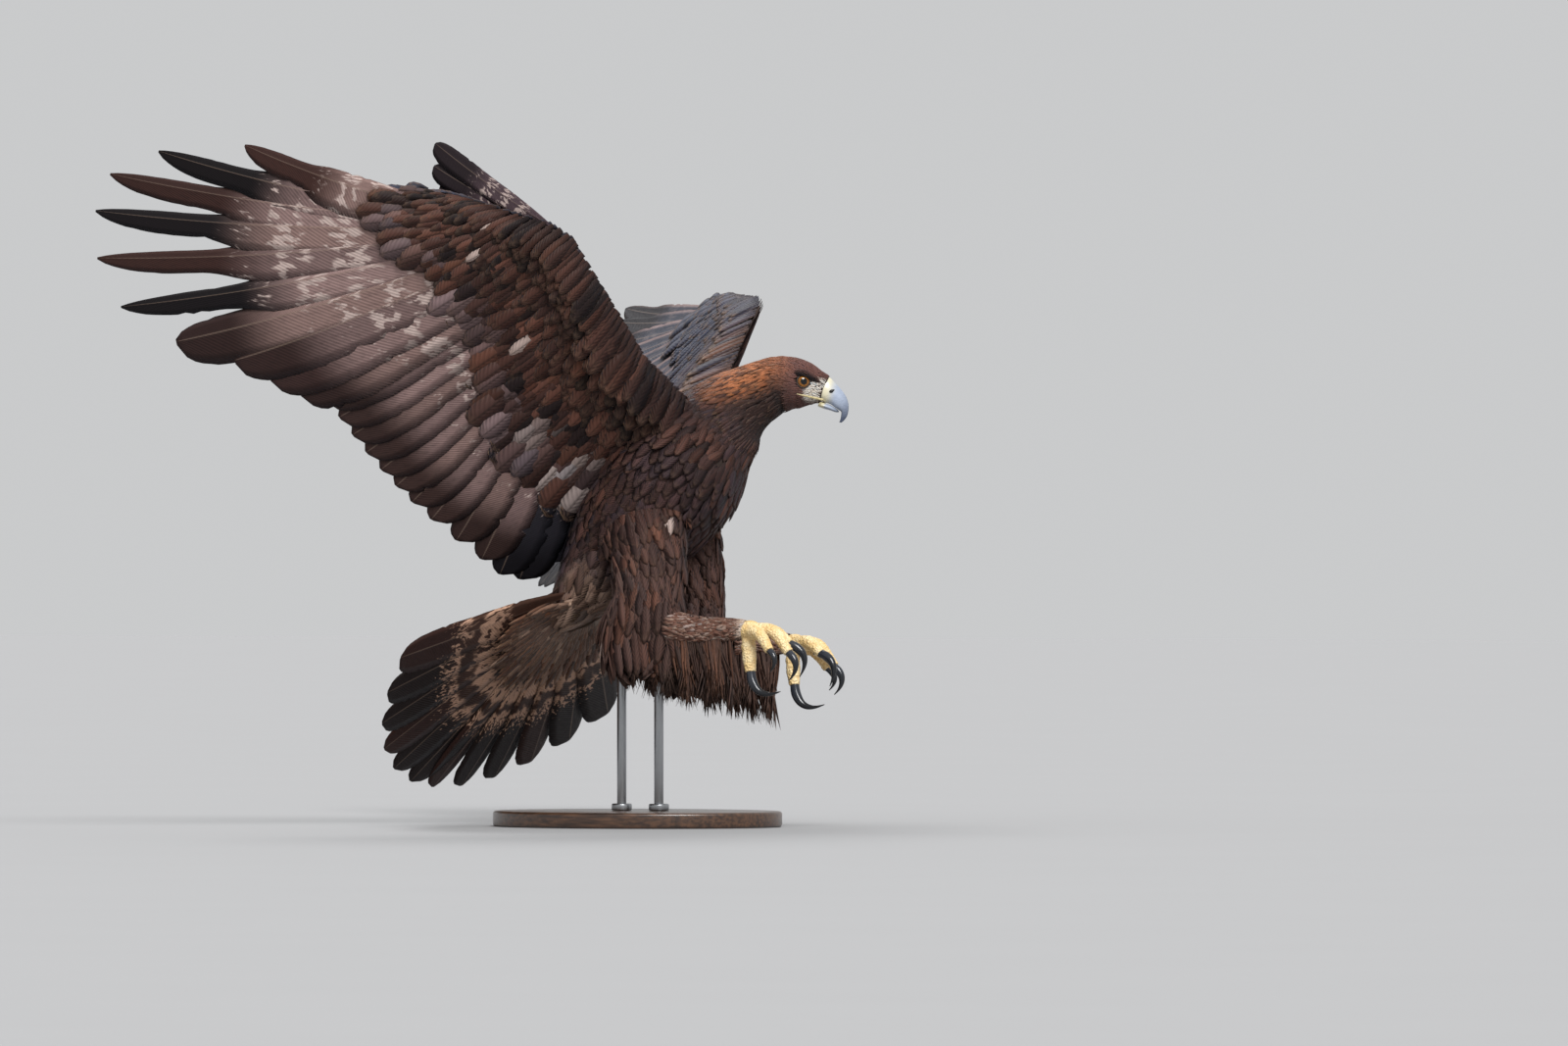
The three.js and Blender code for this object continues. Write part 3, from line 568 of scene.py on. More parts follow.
class Tree:
    """A material's nodes."""

    def __init__(self, name, roughness=0.6, **sockets):
        self.material = bpy.data.materials.new(name)
        self.material.use_nodes = True
        self.nodes, self.links = self.material.node_tree.nodes, self.material.node_tree.links
        self.surface = self.nodes["Principled BSDF"]
        self.put(self.surface, {"Roughness": roughness, **sockets})

    def put(self, node, values):
        pairs = values.items() if isinstance(values, dict) else enumerate(values)
        for key, value in pairs:
            socket = node.inputs[key]
            if isinstance(value, Val):
                self.links.new(value.socket, socket)
            elif hasattr(socket.default_value, "__len__"):
                socket.default_value = (*value, 1)[: len(socket.default_value)]
            else:
                socket.default_value = value

    def add(self, kind, settings, values=(), out=0):
        node = self.nodes.new(kind)
        for key, value in settings.items():
            setattr(node, key, value)
        self.put(node, values)
        return Val(self, node.outputs[out])

    def mix(self, factor, a, b):
        return self.add("ShaderNodeMix", {"data_type": "RGBA"}, {0: factor, 6: a, 7: b}, out=2)

    def attribute(self, name):
        return self.add("ShaderNodeAttribute", {"attribute_name": name})

    def split(self, kind, value):
        """The three parts of a vector or of a colour."""
        node = self.nodes.new(kind)
        self.put(node, {0: value})
        return [Val(self, node.outputs[i]) for i in range(3)]

    def vane(self):
        """Place across and down a feather, or round and along a horn."""
        return self.split("ShaderNodeSeparateXYZ", self.add("ShaderNodeUVMap", {"uv_map": "vane"}))[:2]

    def place(self, scale=(1, 1, 1)):
        place = self.add("ShaderNodeTexCoord", {}, out=3)
        return self.add("ShaderNodeMapping", {}, {"Vector": place, "Scale": scale})

    def noise(self, scale, detail=3.0, where=None):
        values = {"Vector": where or self.place(), "Scale": scale, "Detail": detail}
        return self.add("ShaderNodeTexNoise", {}, values)

    def cells(self, scale):
        return self.add("ShaderNodeTexVoronoi", {}, {"Vector": self.place(), "Scale": scale})

    def bump(self, height, distance, strength=0.6):
        values = {"Height": height, "Distance": distance, "Strength": strength}
        self.put(self.surface, {"Normal": self.add("ShaderNodeBump", {}, values)})

    def colour(self, value):
        self.put(self.surface, {"Base Color": value})
        return self.material


# Where the shaft lies across a long feather, from its inner edge
SHAFT_AT = 0.4
FEATHER_GLOSS = {"Specular IOR Level": 0.12, "Sheen Weight": 0.02, "Sheen Tint": (0.7, 0.78, 1.0)}
# The second colour on the next line is painted shade, for the roots of small feathers
BLACK, ROOT_SHADE, WORN = (0, 0, 0), (0.012, 0.008, 0.007), (0.32, 0.2, 0.13)
DARK_SHAFT, PALE_SHAFT, WEB_SHADE = (0.015, 0.01, 0.008), (0.25, 0.18, 0.14), (0.01, 0.008, 0.008)


def plumage_material(name, barbs, edge, root):
    """Small feathers: their own tint, a darker shaft, painted shade at the base where the feather lies under
    those before it, a paler worn edge, and barbs.
    """
    tree = Tree(name, 0.56, **FEATHER_GLOSS)
    tint = tree.attribute("tint")
    across, down = tree.vane()
    off = abs(across - 0.5) * 2
    mottled = tree.noise(160)
    worn = down.step(0.7, 1.0) * edge + off.step(0.6, 1.0) * edge * 0.5
    # Painted shade: each feather darkens towards its root, where the feathers before it cover it
    root_shaded = tree.mix(down.step(0.6, 0.1) * root, tint, ROOT_SHADE)
    pale = tree.mix(worn * mottled.step(0.25, 0.7), root_shaded, WORN)
    shaft = tree.mix(off.step(0.16, 0.02) * 0.5, pale, DARK_SHAFT)
    streak = ((down + off * 0.25) * barbs).sine()
    tree.bump(streak, 0.0004, 0.5)
    return tree.colour(tree.mix(streak.step(0.2, 1) * 0.14, shaft, BLACK))


def quill_material(name, pale, marbling, barring, band, grain, cover, rag):
    """Flight feathers: a plain ground with marbled inner webs below, dark ends and pale shafts.

    band is where the marbling lies down the feather, grain and barring how fine its spots and bars
    are, cover how much of the web it takes, and rag how ragged the band's ends are.
    """
    tree = Tree(name, 0.5, **FEATHER_GLOSS)
    tint, end = tree.attribute("tint"), tree.attribute("end")
    chance, dark_from, below = tree.split("ShaderNodeSeparateColor", tree.attribute("look"))
    across, down = tree.vane()
    off = abs(across - SHAFT_AT)
    seed = chance * 40
    where = tree.add("ShaderNodeCombineXYZ", {}, (across * 2.4 + seed, down * 6.5 + off * 1.6, seed))
    spots = tree.noise(grain, 9, where).step(0.5 - cover, 0.55 - cover)
    bars = ((down * barring + tree.noise(2.2, 4, where) * 5).sine() + cover * 6).step(-0.3, 0.4)
    mask = spots * bars * marbling * (0.12 + below.step(0.45, 0.55) * 0.88)
    ragged = down + (tree.noise(8, 6, where) - 0.5) * rag
    first, last = band
    mask = mask * ragged.step(first - 0.04, first + 0.04) * ragged.step(last + 0.04, last - 0.02)
    ground = tree.mix((down - dark_from).step(-0.1, 0.1), tint, end)
    marbled = tree.mix(mask, ground, pale)
    streak = ((down * 3 + off * 0.9) * 150).sine()
    fine = tree.noise(7, 5, where)
    woven = tree.mix(streak.step(-0.2, 1) * 0.2 + fine.step(0.45, 0.75) * 0.25, marbled, WEB_SHADE)
    tree.put(tree.surface, {"Roughness": 0.42 + fine * 0.25})
    tree.bump(streak, 0.0003, 0.45)
    return tree.colour(tree.mix(off.step(0.022, 0.01) * 0.35, woven, PALE_SHAFT))


def skin_material():
    tree = Tree("dark_skin", 0.8)
    grain = tree.noise(300)
    tree.bump(grain, 0.001)
    return tree.colour(tree.mix(grain, rgb("2a1f1b"), rgb("3a2a24")))


def toe_material():
    """Yellow scaled skin, with painted shade browning the creases between the scales."""
    tree = Tree("scaled_yellow_skin", 0.45)
    scales = tree.cells(330)
    blotch = tree.noise(70)
    tree.bump(scales.step(0.75, 0.2), 0.0009, 0.9)
    ground = tree.mix(blotch.step(0.35, 0.7), rgb("e0bf82"), rgb("efd9aa"))
    # Painted shade: brown in the creases between the scales
    return tree.colour(tree.mix(scales.step(0.5, 0.85) * 0.35, ground, rgb("a9794a")))


def horn_material(name, root, middle, tip, gloss, near=(0.05, 0.5), far=(0.45, 0.92)):
    """Polished horn that changes colour twice on its way from root to tip, at near and at far."""
    tree = Tree(name, gloss)
    _, down = tree.vane()
    streaks = tree.noise(24, 4, tree.place((8, 8, 60)))
    first = tree.mix(down.step(*near), root, middle)
    second = tree.mix((down + streaks * 0.18).step(*far), first, tip)
    tree.bump(tree.noise(220, 5), 0.0003, 0.35)
    return tree.colour(tree.mix(streaks.step(0.4, 0.8) * 0.22, second, rgb("2a3038")))


PUPIL = (0.002, 0.002, 0.002)


def eye_material():
    """Iris rings about the pupil, by the distance from the eye's own axis."""
    clear = {"Specular IOR Level": 0.3, "Coat Weight": 0.35, "Coat Roughness": 0.02}
    tree = Tree("clear_brown_eye", 0.05, **clear)
    _, out = tree.vane()
    rays = tree.noise(700, 3)
    iris = tree.mix(rays.step(0.35, 0.7), rgb("5c3410"), rgb("a0681f"))
    rim = tree.mix(out.step(0.62, 0.78), iris, rgb("1c0f08"))
    return tree.colour(tree.mix(out.step(0.43, 0.39), rim, PUPIL))


def bare_material(name, dark, light):
    tree = Tree(name, 0.5)
    grain = tree.noise(260)
    tree.bump(grain, 0.0006)
    return tree.colour(tree.mix(grain.step(0.3, 0.7), dark, light))


def wood_material():
    tree = Tree("dark_stained_wood", 0.36, **{"Coat Weight": 0.35, "Coat Roughness": 0.2})
    grain = tree.noise(9, 8, tree.place((2.2, 26, 26)))
    pores = tree.noise(60, 3, tree.place((1.5, 34, 34)))
    tree.bump(pores, 0.0004, 0.4)
    ground = tree.mix(grain.step(0.3, 0.7), rgb("2b1c14"), rgb("553a28"))
    return tree.colour(tree.mix(pores.step(0.55, 0.75) * 0.6, ground, rgb("150d09")))


def steel_material():
    tree = Tree("brushed_steel", 0.3, Metallic=1.0)
    lines = tree.noise(40, 6, tree.place((30, 30, 1.5)))
    tree.put(tree.surface, {"Roughness": 0.24 + lines * 0.2})
    tree.bump(lines, 0.0001, 0.3)
    return tree.colour(tree.mix(lines, rgb("8d8f92"), rgb("b9bbbd")))


def studio_material():
    tree = Tree("pale_studio", 0.9)
    return tree.colour(tree.mix(tree.noise(3), rgb("949495"), rgb("969697")))


# Plumage by place

def variety(rng, n, spread=0.22):
    """A little variety in lightness and warmth, feather by feather."""
    light = 0.95 * np.exp(rng.normal(0, spread, (n, 1)))
    warm = 1 + rng.normal(0, 0.06, (n, 1)) * np.array([[1, 0, -1]])
    return clamp(light * warm)


def blend(a, b, t):
    t = clamp(np.asarray(t, float))[..., None]
    return np.asarray(a) * (1 - t) + np.asarray(b) * t


def patches(point, scale):
    """Soft clouds over the plumage, 0 to 1."""
    a, b, c = (point / scale).T
    cloud = np.sin(a + 1.3 * np.sin(b * 0.8)) * np.sin(b * 1.3 + c) + 0.4 * np.sin(2.3 * c + a)
    return clamp(0.5 + 0.45 * cloud)


def flecked(tint, rng, share):
    """A few feathers turned pale."""
    return np.where(rng.random((len(tint), 1)) < share, FLECK, tint)


def within(x, low, high, edge):
    """1 between low and high, fading over the edge."""
    return clamp((x - low) / edge + 0.5) * clamp((high - x) / edge + 0.5)


# The third colour on the next line, slate, is a painted bluish sheen on the dark plumage
BROWN, RUFOUS, SHEEN_SLATE, FLECK = rgb("3a2622"), rgb("6b463a"), rgb("433c46"), rgb("a8948c")
GOLD, CROWN, THROAT, LORES = rgb("b9744c"), rgb("74504a"), rgb("372622"), rgb("ece4da")
VENT, THIGH_BROWN, BOOT_PALE = rgb("ab8f7d"), rgb("4c3833"), rgb("dcc8b8")
# Painted shade for the brow feathers that face down
PAINTED_BROW_SHADE = rgb("2c2526")
# Stations on the spine where the hackles, the crown and the cheek begin
HACKLES_FROM, CROWN_FROM, CHEEK_FROM = 6.6, 8.9, 9.6
# Coverts of the wing: below, from the darkest to the palest, and above
# The first, near-black colour of the lower coverts is a painted shadow
UNDER_SHADOW, UNDER_DARK, UNDER_RUFOUS, UNDER_GREY, UNDER_PALE = map(
    rgb, ("1a1314", "36231f", "694438", "7d696a", "a79894"))
# The slate of the upper coverts is partly their dark grey and partly a painted bluish sheen
UPPER_DARK, UPPER_BROWN, UPPER_SHEEN_SLATE = map(rgb, ("3d3135", "7d5848", "464a5a"))
# Radius of the bare opening about each eye
EYE_OPENING = 9.0


def trunk_tint(s, point, rng):
    """Colour of the trunk's feathers: dark below with slate clouds of painted sheen, gold hackles behind the
    neck, pale vent.
    """
    centre, _, up = spine_frame(s)
    back = np.clip(((point - centre) @ up) / 40, -1, 1)
    n = len(point)
    # Painted sheen: slate-blue clouds over the brown
    ground = blend(BROWN, SHEEN_SLATE, 0.9 * rng.random(n) * patches(point, 31))
    ground = blend(ground, RUFOUS, 0.8 * rng.random(n) * patches(point, 19) ** 2)
    head = clamp((s - HACKLES_FROM) / 1.4)
    nape = blend(GOLD, CROWN, clamp((s - CROWN_FROM) / 1.6))
    cheek = blend(THROAT, CROWN, 0.6 * clamp(s - CHEEK_FROM))
    hackle = blend(cheek, nape, clamp(back * 1.5 + 0.5))
    hackle = blend(hackle, THROAT, 0.75 * (rng.random(n) < 0.3) * clamp((CHEEK_FROM - s) / 1.2))
    ground = ground * (1 - head) + hackle * head
    ahead, rise = head_coords(point)
    ground = blend(ground, LORES, 0.95 * within(ahead, 4, 40, 6) * within(rise, -21, 5, 5))
    vent = clamp(1.7 - s) * clamp(0.7 - back) * (0.4 + 0.6 * patches(point, 17))
    tint = variety(rng, n, 0.3 - 0.12 * head) * blend(ground, VENT, vent)
    return flecked(tint, rng, 0.003 * (s < 6.5))


def bare_face(point):
    """True in the opening about an eye, where no feathers grow."""
    middles = [eye_centre(side) + eye_look(side) * EYE_OPENING for side in SIDES.values()]
    return np.any([np.linalg.norm(point - middle, axis=1) < EYE_OPENING for middle in middles], axis=0)


def trunk_coat(name, span, gap, length, half, shape, lift, bend, seed):
    """Feathers over a span of the trunk; length and half give their size at a station."""
    rng = np.random.default_rng(seed)
    coat = Coat(name, shape)
    for s, share, point, normal, along in shingles(trunk_ring, *span, gap, rng, -SKIN_DEPTH * 0.5):
        keep = ~(bare_face(point) | bare_face(point - along * 4))
        point, normal, along, share = point[keep], normal[keep], along[keep], share[keep]
        n = len(point)
        wander = np.cross(normal, along) * rng.normal(0, 0.14, (n, 1))
        lengths = length(s) * rng.uniform(0.8, 1.2, n)
        place = np.column_stack([share, np.full(n, s / 14)])
        tint = trunk_tint(s, point, rng)
        coat.add(point, wander - along, normal, lengths, half(s), tint, place, lift, bend)
    return coat.make()


def limb_coat(name, ring, span, gap, length, half, tint, side, seed, window, lift, bend):
    """Feathers round a limb; window is the limb's first and last place across the baking map."""
    rng = np.random.default_rng(seed)
    coat = Coat(name)
    for s, share, point, normal, along in shingles(ring, *span, gap, rng, -2):
        n = len(point)
        wander = np.cross(normal, along) * rng.normal(0, 0.16, (n, 1))
        lengths = length(s) * rng.uniform(0.75, 1.25, n)
        place = np.column_stack([np.interp(share, (0, 1), window), np.full(n, s * 0.95)])
        turned = (mirrored(vectors, side) for vectors in (point, along + wander, normal))
        coat.add(*turned, lengths, half, tint(s, point, rng), place, lift, bend)
    return coat.make()


# Half the wing's thickness by flight feather from the body outwards, and its share by place on the chord
WING_THICKNESS = ((0, 18), (8, 13.5), (14, 10), (23, 6))
WING_SWELL = ((0, 0.35), (0.05, 0.85), (0.14, 1), (0.26, 0.8), (0.42, 0.42), (0.6, 0.2), (1, 0.12))
# How far back the coverts reach, as a share of the chord, by flight feather from the body outwards
LINING_EDGE = (
    (0, 0.56), (4, 0.64), (7, 0.65), (8.5, 0.58), (10, 0.49), (13, 0.45), (17, 0.32), (20, 0.31), (23, 0.2),
)
# Tiers of coverts: first and last root, rows, spacing, length by the lining's depth, width by length
TIERS = (
    (0.0, 0.54, 12, 8.5, 0.3, 0.19), (0.52, 0.66, 3, 12, 0.3, 0.25), (0.66, 0.76, 2, 18, 0.36, 0.26),
)
SHORTEST_COVERT, LONGEST_COVERT = 15, 70


def blend_uv(k, q):
    """Place on the wing's plane at a share of the chord, by flight feather."""
    lead, tip = between(LEADS, k), between(TIPS, k)
    return lead + (tip - lead) * np.asarray(q)[..., None]


def covert_row(wing, share, gap, rng):
    """Places of one row's coverts, counted in flight feathers, at even distances along the wing."""
    ends = np.arange(0, QUILLS - 1, 0.02)
    line = wing.at(blend_uv(ends, share * linear(LINING_EDGE, ends)))
    run = np.concatenate([[0], np.cumsum(np.linalg.norm(np.diff(line, axis=0), axis=1))])
    n = int(run[-1] / gap)
    return np.interp((np.arange(n) + rng.uniform(0.1, 0.9, n)) * run[-1] / n, run, ends)


def wing_lining(name, wing, face, seed):
    """Rows of coverts from the leading edge back, longer tier by tier, on one face of a wing."""
    rng = np.random.default_rng(seed)
    coat = Coat(name, Coat.COVERT)
    height = lambda k, q: linear(WING_THICKNESS, k) * profile(WING_SWELL, q) - 1.5
    surface = lambda k, q: wing.at(blend_uv(k, q), face * height(k, q))
    for first, last, count, gap, long, wide in TIERS:
        for share in np.linspace(first, last, count):
            k = covert_row(wing, share, gap, rng)
            n, edge = len(k), linear(LINING_EDGE, k)
            near = clamp(share * edge + rng.normal(0, 0.006, n))
            depth = edge * np.linalg.norm(between(TIPS, k) - between(LEADS, k), axis=1)
            length = np.clip(long * depth, SHORTEST_COVERT, LONGEST_COVERT) * rng.uniform(0.85, 1.15, n)
            point = surface(k, near)
            along = surface(k, near + 0.05) - point
            tint = lining_tint(face, share, k, point, rng)
            place = np.column_stack([k / 24, np.full(n, 0.02 + 0.9 * share)])
            normal = np.broadcast_to(wing.under * face, (n, 3))
            coat.add(point, along, normal, length, wide * length, tint, place, rng.uniform(0.04, 0.1, n), 400)
    return coat.make()


def lining_tint(face, share, k, point, rng):
    """Dark brown and rufous coverts with near-black patches of painted shadow, greyer towards the quills,
    with pale ones by the body.
    """
    n = len(k)
    last = clamp((share - 0.6) * 8)
    cloud = patches(point, 23)
    if face > 0:
        ground = blend(UNDER_DARK, UNDER_RUFOUS, rng.random(n) * cloud)
        # Painted shadow: near-black patches among all but the last tier of coverts
        ground = blend(ground, UNDER_SHADOW, 0.9 * (patches(point, 9) > 0.72) * (share < 0.7))
        ground = blend(ground, UNDER_GREY, last * np.clip(rng.random(n) * 1.5 - 0.35, 0, 0.9))
        pale = clamp((7.5 - k) / 3) * (rng.random(n) < 0.24) * clamp((share - 0.45) * 6)
        return flecked(variety(rng, n, 0.24) * blend(ground, UNDER_PALE, 0.85 * pale), rng, 0.003)
    scaly = rng.random(n) * clamp(1.4 - 1.4 * share)
    brown = blend(UPPER_DARK, UPPER_BROWN, scaly)
    # Partly painted sheen: the outer upper coverts turn bluish slate
    ground = blend(UPPER_SHEEN_SLATE, brown, np.clip((14 - k) / 4, 0.15, 1) * (0.6 + 0.4 * cloud))
    return variety(rng, n) * ground


# Long feathers: wings and tail

LONG_ROWS = 52
# Places across a vane from its inner edge, -1, to its outer edge, 1, and the rise of the shaft there
ACROSS = np.array([-1.0, -0.62, -0.3, -0.07, 0.0, 0.07, 0.3, 0.62, 1.0])
KEEL = np.array([0, 0.25, 0.4, 0.45, 1.5, 0.45, 0.4, 0.25, 0])
# Round a vane: across its lower sheet, 1, and back across its upper one, -1
ROUND_VANE = [*range(len(ACROSS)), *range(len(ACROSS) - 2, 0, -1)]
SHEETS = np.where(np.arange(len(ROUND_VANE)) < len(ACROSS), 1, -1)
VANE_SHAPE = (
    (0, 0.16), (0.12, 0.5), (0.3, 0.82), (0.6, 0.96), (0.84, 1), (0.92, 0.88), (0.97, 0.62), (0.99, 0.38),
    (1, 0.12),
)
FINGER_SHAPE = (
    (0, 0.16), (0.12, 0.5), (0.3, 0.86), (0.56, 1), (0.63, 0.92), (0.7, 0.66), (0.86, 0.54), (0.94, 0.38),
    (0.985, 0.17), (1, 0.05),
)
# The upper web's bluish grey is partly the quills' dark grey and partly a painted bluish sheen
UPPER_SHEEN_WEB, UPPER_END = rgb("484a55"), rgb("2a2628")
# Half width outside and inside the shaft, shape, tilt, and where the dark end begins
VANES = {
    "finger": (15, 40, FINGER_SHAPE, 0.12, 0.6), "hand": (21, 50, VANE_SHAPE, 0.12, 0.76),
    "arm": (20, 42, VANE_SHAPE, 0.1, 0.8), "thumb": (10, 19, VANE_SHAPE, 0.1, 0.62),
    "tail": (25, 42, VANE_SHAPE, 0.1, 0.62),
}


def vane(kind, centre, face, outward, tint, end, shift=0.0):
    """A long feather: face is the way its lower side looks, outward the side of its outer web."""
    outer, inner, shape, tilt, dark_from = VANES[kind]
    return SimpleNamespace(
        centre=centre, face=face, outward=outward, tint=tint, end=end, outer=outer, inner=inner,
        shape=shape, tilt=tilt, dark_from=dark_from + shift,
    )


def frayed(rng, t):
    """Share of the width that is left at each row of both edges, with a few splits in each."""
    edges = 1 - 0.035 * rng.random((2, LONG_ROWS)) * (t > 0.15)
    for edge in edges:
        for split in rng.integers(8, LONG_ROWS - 4, rng.integers(1, 5)):
            edge[split] *= rng.uniform(0.88, 0.97)
    return edges


def vane_points(quill, t, edges):
    """Points of a vane row by row, each row once round it."""
    centre = quill.centre(t)
    along = unit(np.gradient(centre, axis=0))
    side = unit(np.cross(along, quill.face)) * quill.outward
    normal = unit(np.cross(side, along)) * quill.outward
    width = np.maximum(profile(quill.shape, t), 0.02)
    columns = []
    for c, sheet in zip(ROUND_VANE, SHEETS):
        x = ACROSS[c]
        reach = (quill.outer if x > 0 else quill.inner) * x * width
        if abs(x) == 1:
            reach = reach * edges[0 if x > 0 else 1]
        rise = sheet * (0.12 + KEEL[c] * 0.55 * (1 - 0.7 * t)) - quill.tilt * reach
        camber = -0.05 * abs(x) ** 1.5 * quill.inner * width
        columns.append(centre + side * reach[:, None] + normal * (rise + camber)[:, None])
    return np.stack(columns, 1).reshape(-1, 3)


def long_feathers(name, quills, seed):
    """Large vanes, each with a raised shaft, a cambered web and a frayed edge, as one mesh."""
    rng = np.random.default_rng(seed)
    t, n, cell = np.linspace(0, 1, LONG_ROWS), len(ROUND_VANE), 1 / len(quills)
    x = ACROSS[ROUND_VANE]
    share = SHAFT_AT + x * np.where(x > 0, 1 - SHAFT_AT, SHAFT_AT)
    lower = np.tile(np.where(np.abs(x) == 1, 0.5, SHEETS > 0), LONG_ROWS)
    sides = tube_faces(LONG_ROWS, n)
    caps = [np.arange(n)[::-1], np.arange(n) + (LONG_ROWS - 1) * n]
    points, faces, tints, ends, looks, places = [], [], [], [], [], []
    for number, quill in enumerate(quills):
        points.append(vane_points(quill, t, frayed(rng, t)))
        first = number * len(lower)
        faces += (sides + first).tolist() + [(cap + first).tolist() for cap in caps]
        # Partly painted sheen: the upper sheet takes the bluish grey
        tints.append(blend(UPPER_SHEEN_WEB, quill.tint, lower > 0.4))
        ends.append(blend(UPPER_END, quill.end, lower > 0.4))
        chance = rng.random()
        looks.append([(chance, quill.dark_from, below) for below in lower])
        column = cell * (number + 0.46 * share) + cell * np.where(SHEETS > 0, 0.02, 0.51)
        places.append(np.column_stack([np.tile(column, LONG_ROWS), np.repeat(0.02 + 0.96 * t, n)]))
    flat = np.concatenate
    obj = build(name, to_room(flat(points)), faces)
    outward(obj)
    across, down = np.tile(share, LONG_ROWS * len(quills)), np.tile(np.repeat(t, n), len(quills))
    paint(obj, flat(tints), across, down, flat(places), 0.0)
    add_colours(obj.data, "look", flat(looks))
    add_colours(obj.data, "end", flat(ends))
    return obj


# First primary with a fingered end, and last of the dark feathers counted from the body
FIRST_FINGER, LAST_DARK = 5, 3
WEB_TINTS, FINGER_ENDS = ("947a76", "806966", "8c726c"), ("452d28", "1c1719")


def wing_quills(wing, rng):
    """Ten primaries, the outer ones notched into fingers, nine secondaries and five tertials."""
    quills = []
    for k in range(QUILLS):
        primary = k - INNER_QUILLS + 1
        if primary >= FIRST_FINGER:
            kind, end = "finger", FINGER_ENDS[primary % 2]
        elif primary > 0:
            kind, end = "hand", "3f2c29"
        else:
            kind, end = "arm", "46332f" if k > LAST_DARK else "1d1b20"
        tint = WEB_TINTS[k % 3] if k > LAST_DARK else "2c2a30"
        centre = quill_line(wing, ROOTS[k], wing.tips[k], 8 if primary > 0 else 4)
        tint, end = shade(tint, rng.uniform(0.92, 1.2)), shade(end, rng.uniform(0.65, 0.9))
        quills.append(vane(kind, centre, wing.under, -wing.side, tint, end, rng.uniform(-0.03, 0.03)))
    return quills


def quill_line(wing, root, tip, bow, sink=0.0):
    """The shaft's line on the wing, bowed a little towards the body."""
    heading = unit(tip - root)
    aft = np.array([-heading[1], heading[0]])

    def centre(t):
        t = np.asarray(t)[:, None]
        return wing.at(root + (tip - root) * t + aft * bow * 4 * t * (1 - t), sink * (1 + t[:, 0]))

    return centre


# Tips of the three thumb feathers on each wing
ALULA_TIPS = {-1: ((510, 88), (484, 104), (456, 110)), 1: ((474, 152), (456, 148), (438, 140))}


def alula_quills(wing):
    quills = []
    for i, tip in enumerate(ALULA_TIPS[wing.side]):
        centre = quill_line(wing, along_hand(14 + 6 * i, 7 - 3 * i), np.array(tip, float), 2, -3.0)
        quills.append(vane("thumb", centre, wing.under, -wing.side, rgb("55454a"), rgb("2b2326")))
    return quills


# The tail's own axes: along its middle, to its left, and out of its underside
TAIL_YAW, TAIL_BACK, TAIL_DOWN, TAIL_ROOT = math.radians(-2), -0.664, -0.747, 26
TAIL_LEFT = np.array([-math.sin(TAIL_YAW), math.cos(TAIL_YAW), 0])
TAIL_AXIS = unit(np.array([TAIL_BACK * math.cos(TAIL_YAW), TAIL_BACK * math.sin(TAIL_YAW), TAIL_DOWN]))
TAIL_UNDER = np.cross(TAIL_AXIS, TAIL_LEFT)
TAIL_CENTRE = np.array([-79.0, 0, -164.0])
# Spread, rows and last row of the tail's coverts, and how far back they stand high
COVERT_SPREAD, COVERT_ROWS, COVERT_LAST, COVERT_FULL = 58, 14, 92, 62


def on_tail(degrees, reach, under=0.0):
    """A place on the tail's fan, under out of its underside."""
    angle = np.radians(np.asarray(degrees, float))[..., None]
    reach, under = (np.asarray(value, float)[..., None] for value in (reach, under))
    fan = TAIL_AXIS * reach * np.cos(angle) + TAIL_LEFT * reach * np.sin(angle)
    return TAIL_CENTRE + fan + TAIL_UNDER * under


def tail_quills(rng):
    quills = []
    for k in range(RECTRICES):
        degrees = -TAIL_SPREAD + 2 * TAIL_SPREAD * (k + 0.5) / RECTRICES
        centre = lambda t, at=degrees: on_tail(at, TAIL_ROOT + (TAIL_REACH - TAIL_ROOT) * t)
        tint, end = shade("3d281f", rng.uniform(0.8, 1.25)), rgb("1b110e" if k % 3 else "2f1a14")
        outward = 1 if degrees < 0 else -1
        quills.append(vane("tail", centre, TAIL_UNDER, outward, tint, end, rng.uniform(-0.03, 0.03)))
    return quills


def tail_lining(name, seed):
    """Loose pale coverts over the roots of the tail, below, and dark ones above."""
    rng = np.random.default_rng(seed)
    coat = Coat(name)
    for face in (1, -1):
        for reach in np.linspace(2, COVERT_LAST, COVERT_ROWS):
            n = int(20 + reach * 0.3)
            degrees = np.linspace(-COVERT_SPREAD, COVERT_SPREAD, n) + rng.normal(0, 2.5, n)
            point = on_tail(degrees, reach, face * (4 + 24 * clamp(1 - reach / COVERT_FULL)))
            along = on_tail(degrees, reach + 30, face * 7.0) - point
            ground = BROWN
            if face > 0:
                pale = clamp(1.4 - reach / COVERT_FULL) * (0.3 + 0.7 * patches(point, 14))
                ground = blend(rgb("3d2921"), rgb("6d4835"), rng.random(n))
                ground = blend(ground, VENT, pale + 0.5 * (rng.random(n) < 0.12))
            across = (degrees + 60) / 260 + 0.25 * (face < 0)
            place = np.column_stack([across, np.full(n, 0.02 + reach / 110)])
            normal = np.broadcast_to(TAIL_UNDER * face, (n, 3))
            length = (36 + reach * 0.32) * rng.uniform(0.75, 1.25, n)
            coat.add(point, along, normal, length, 7.5, variety(rng, n, 0.3) * ground, place, 0.1, 300)
    return coat.make()


# Bill, feet and claws: sections and paths in millimetres

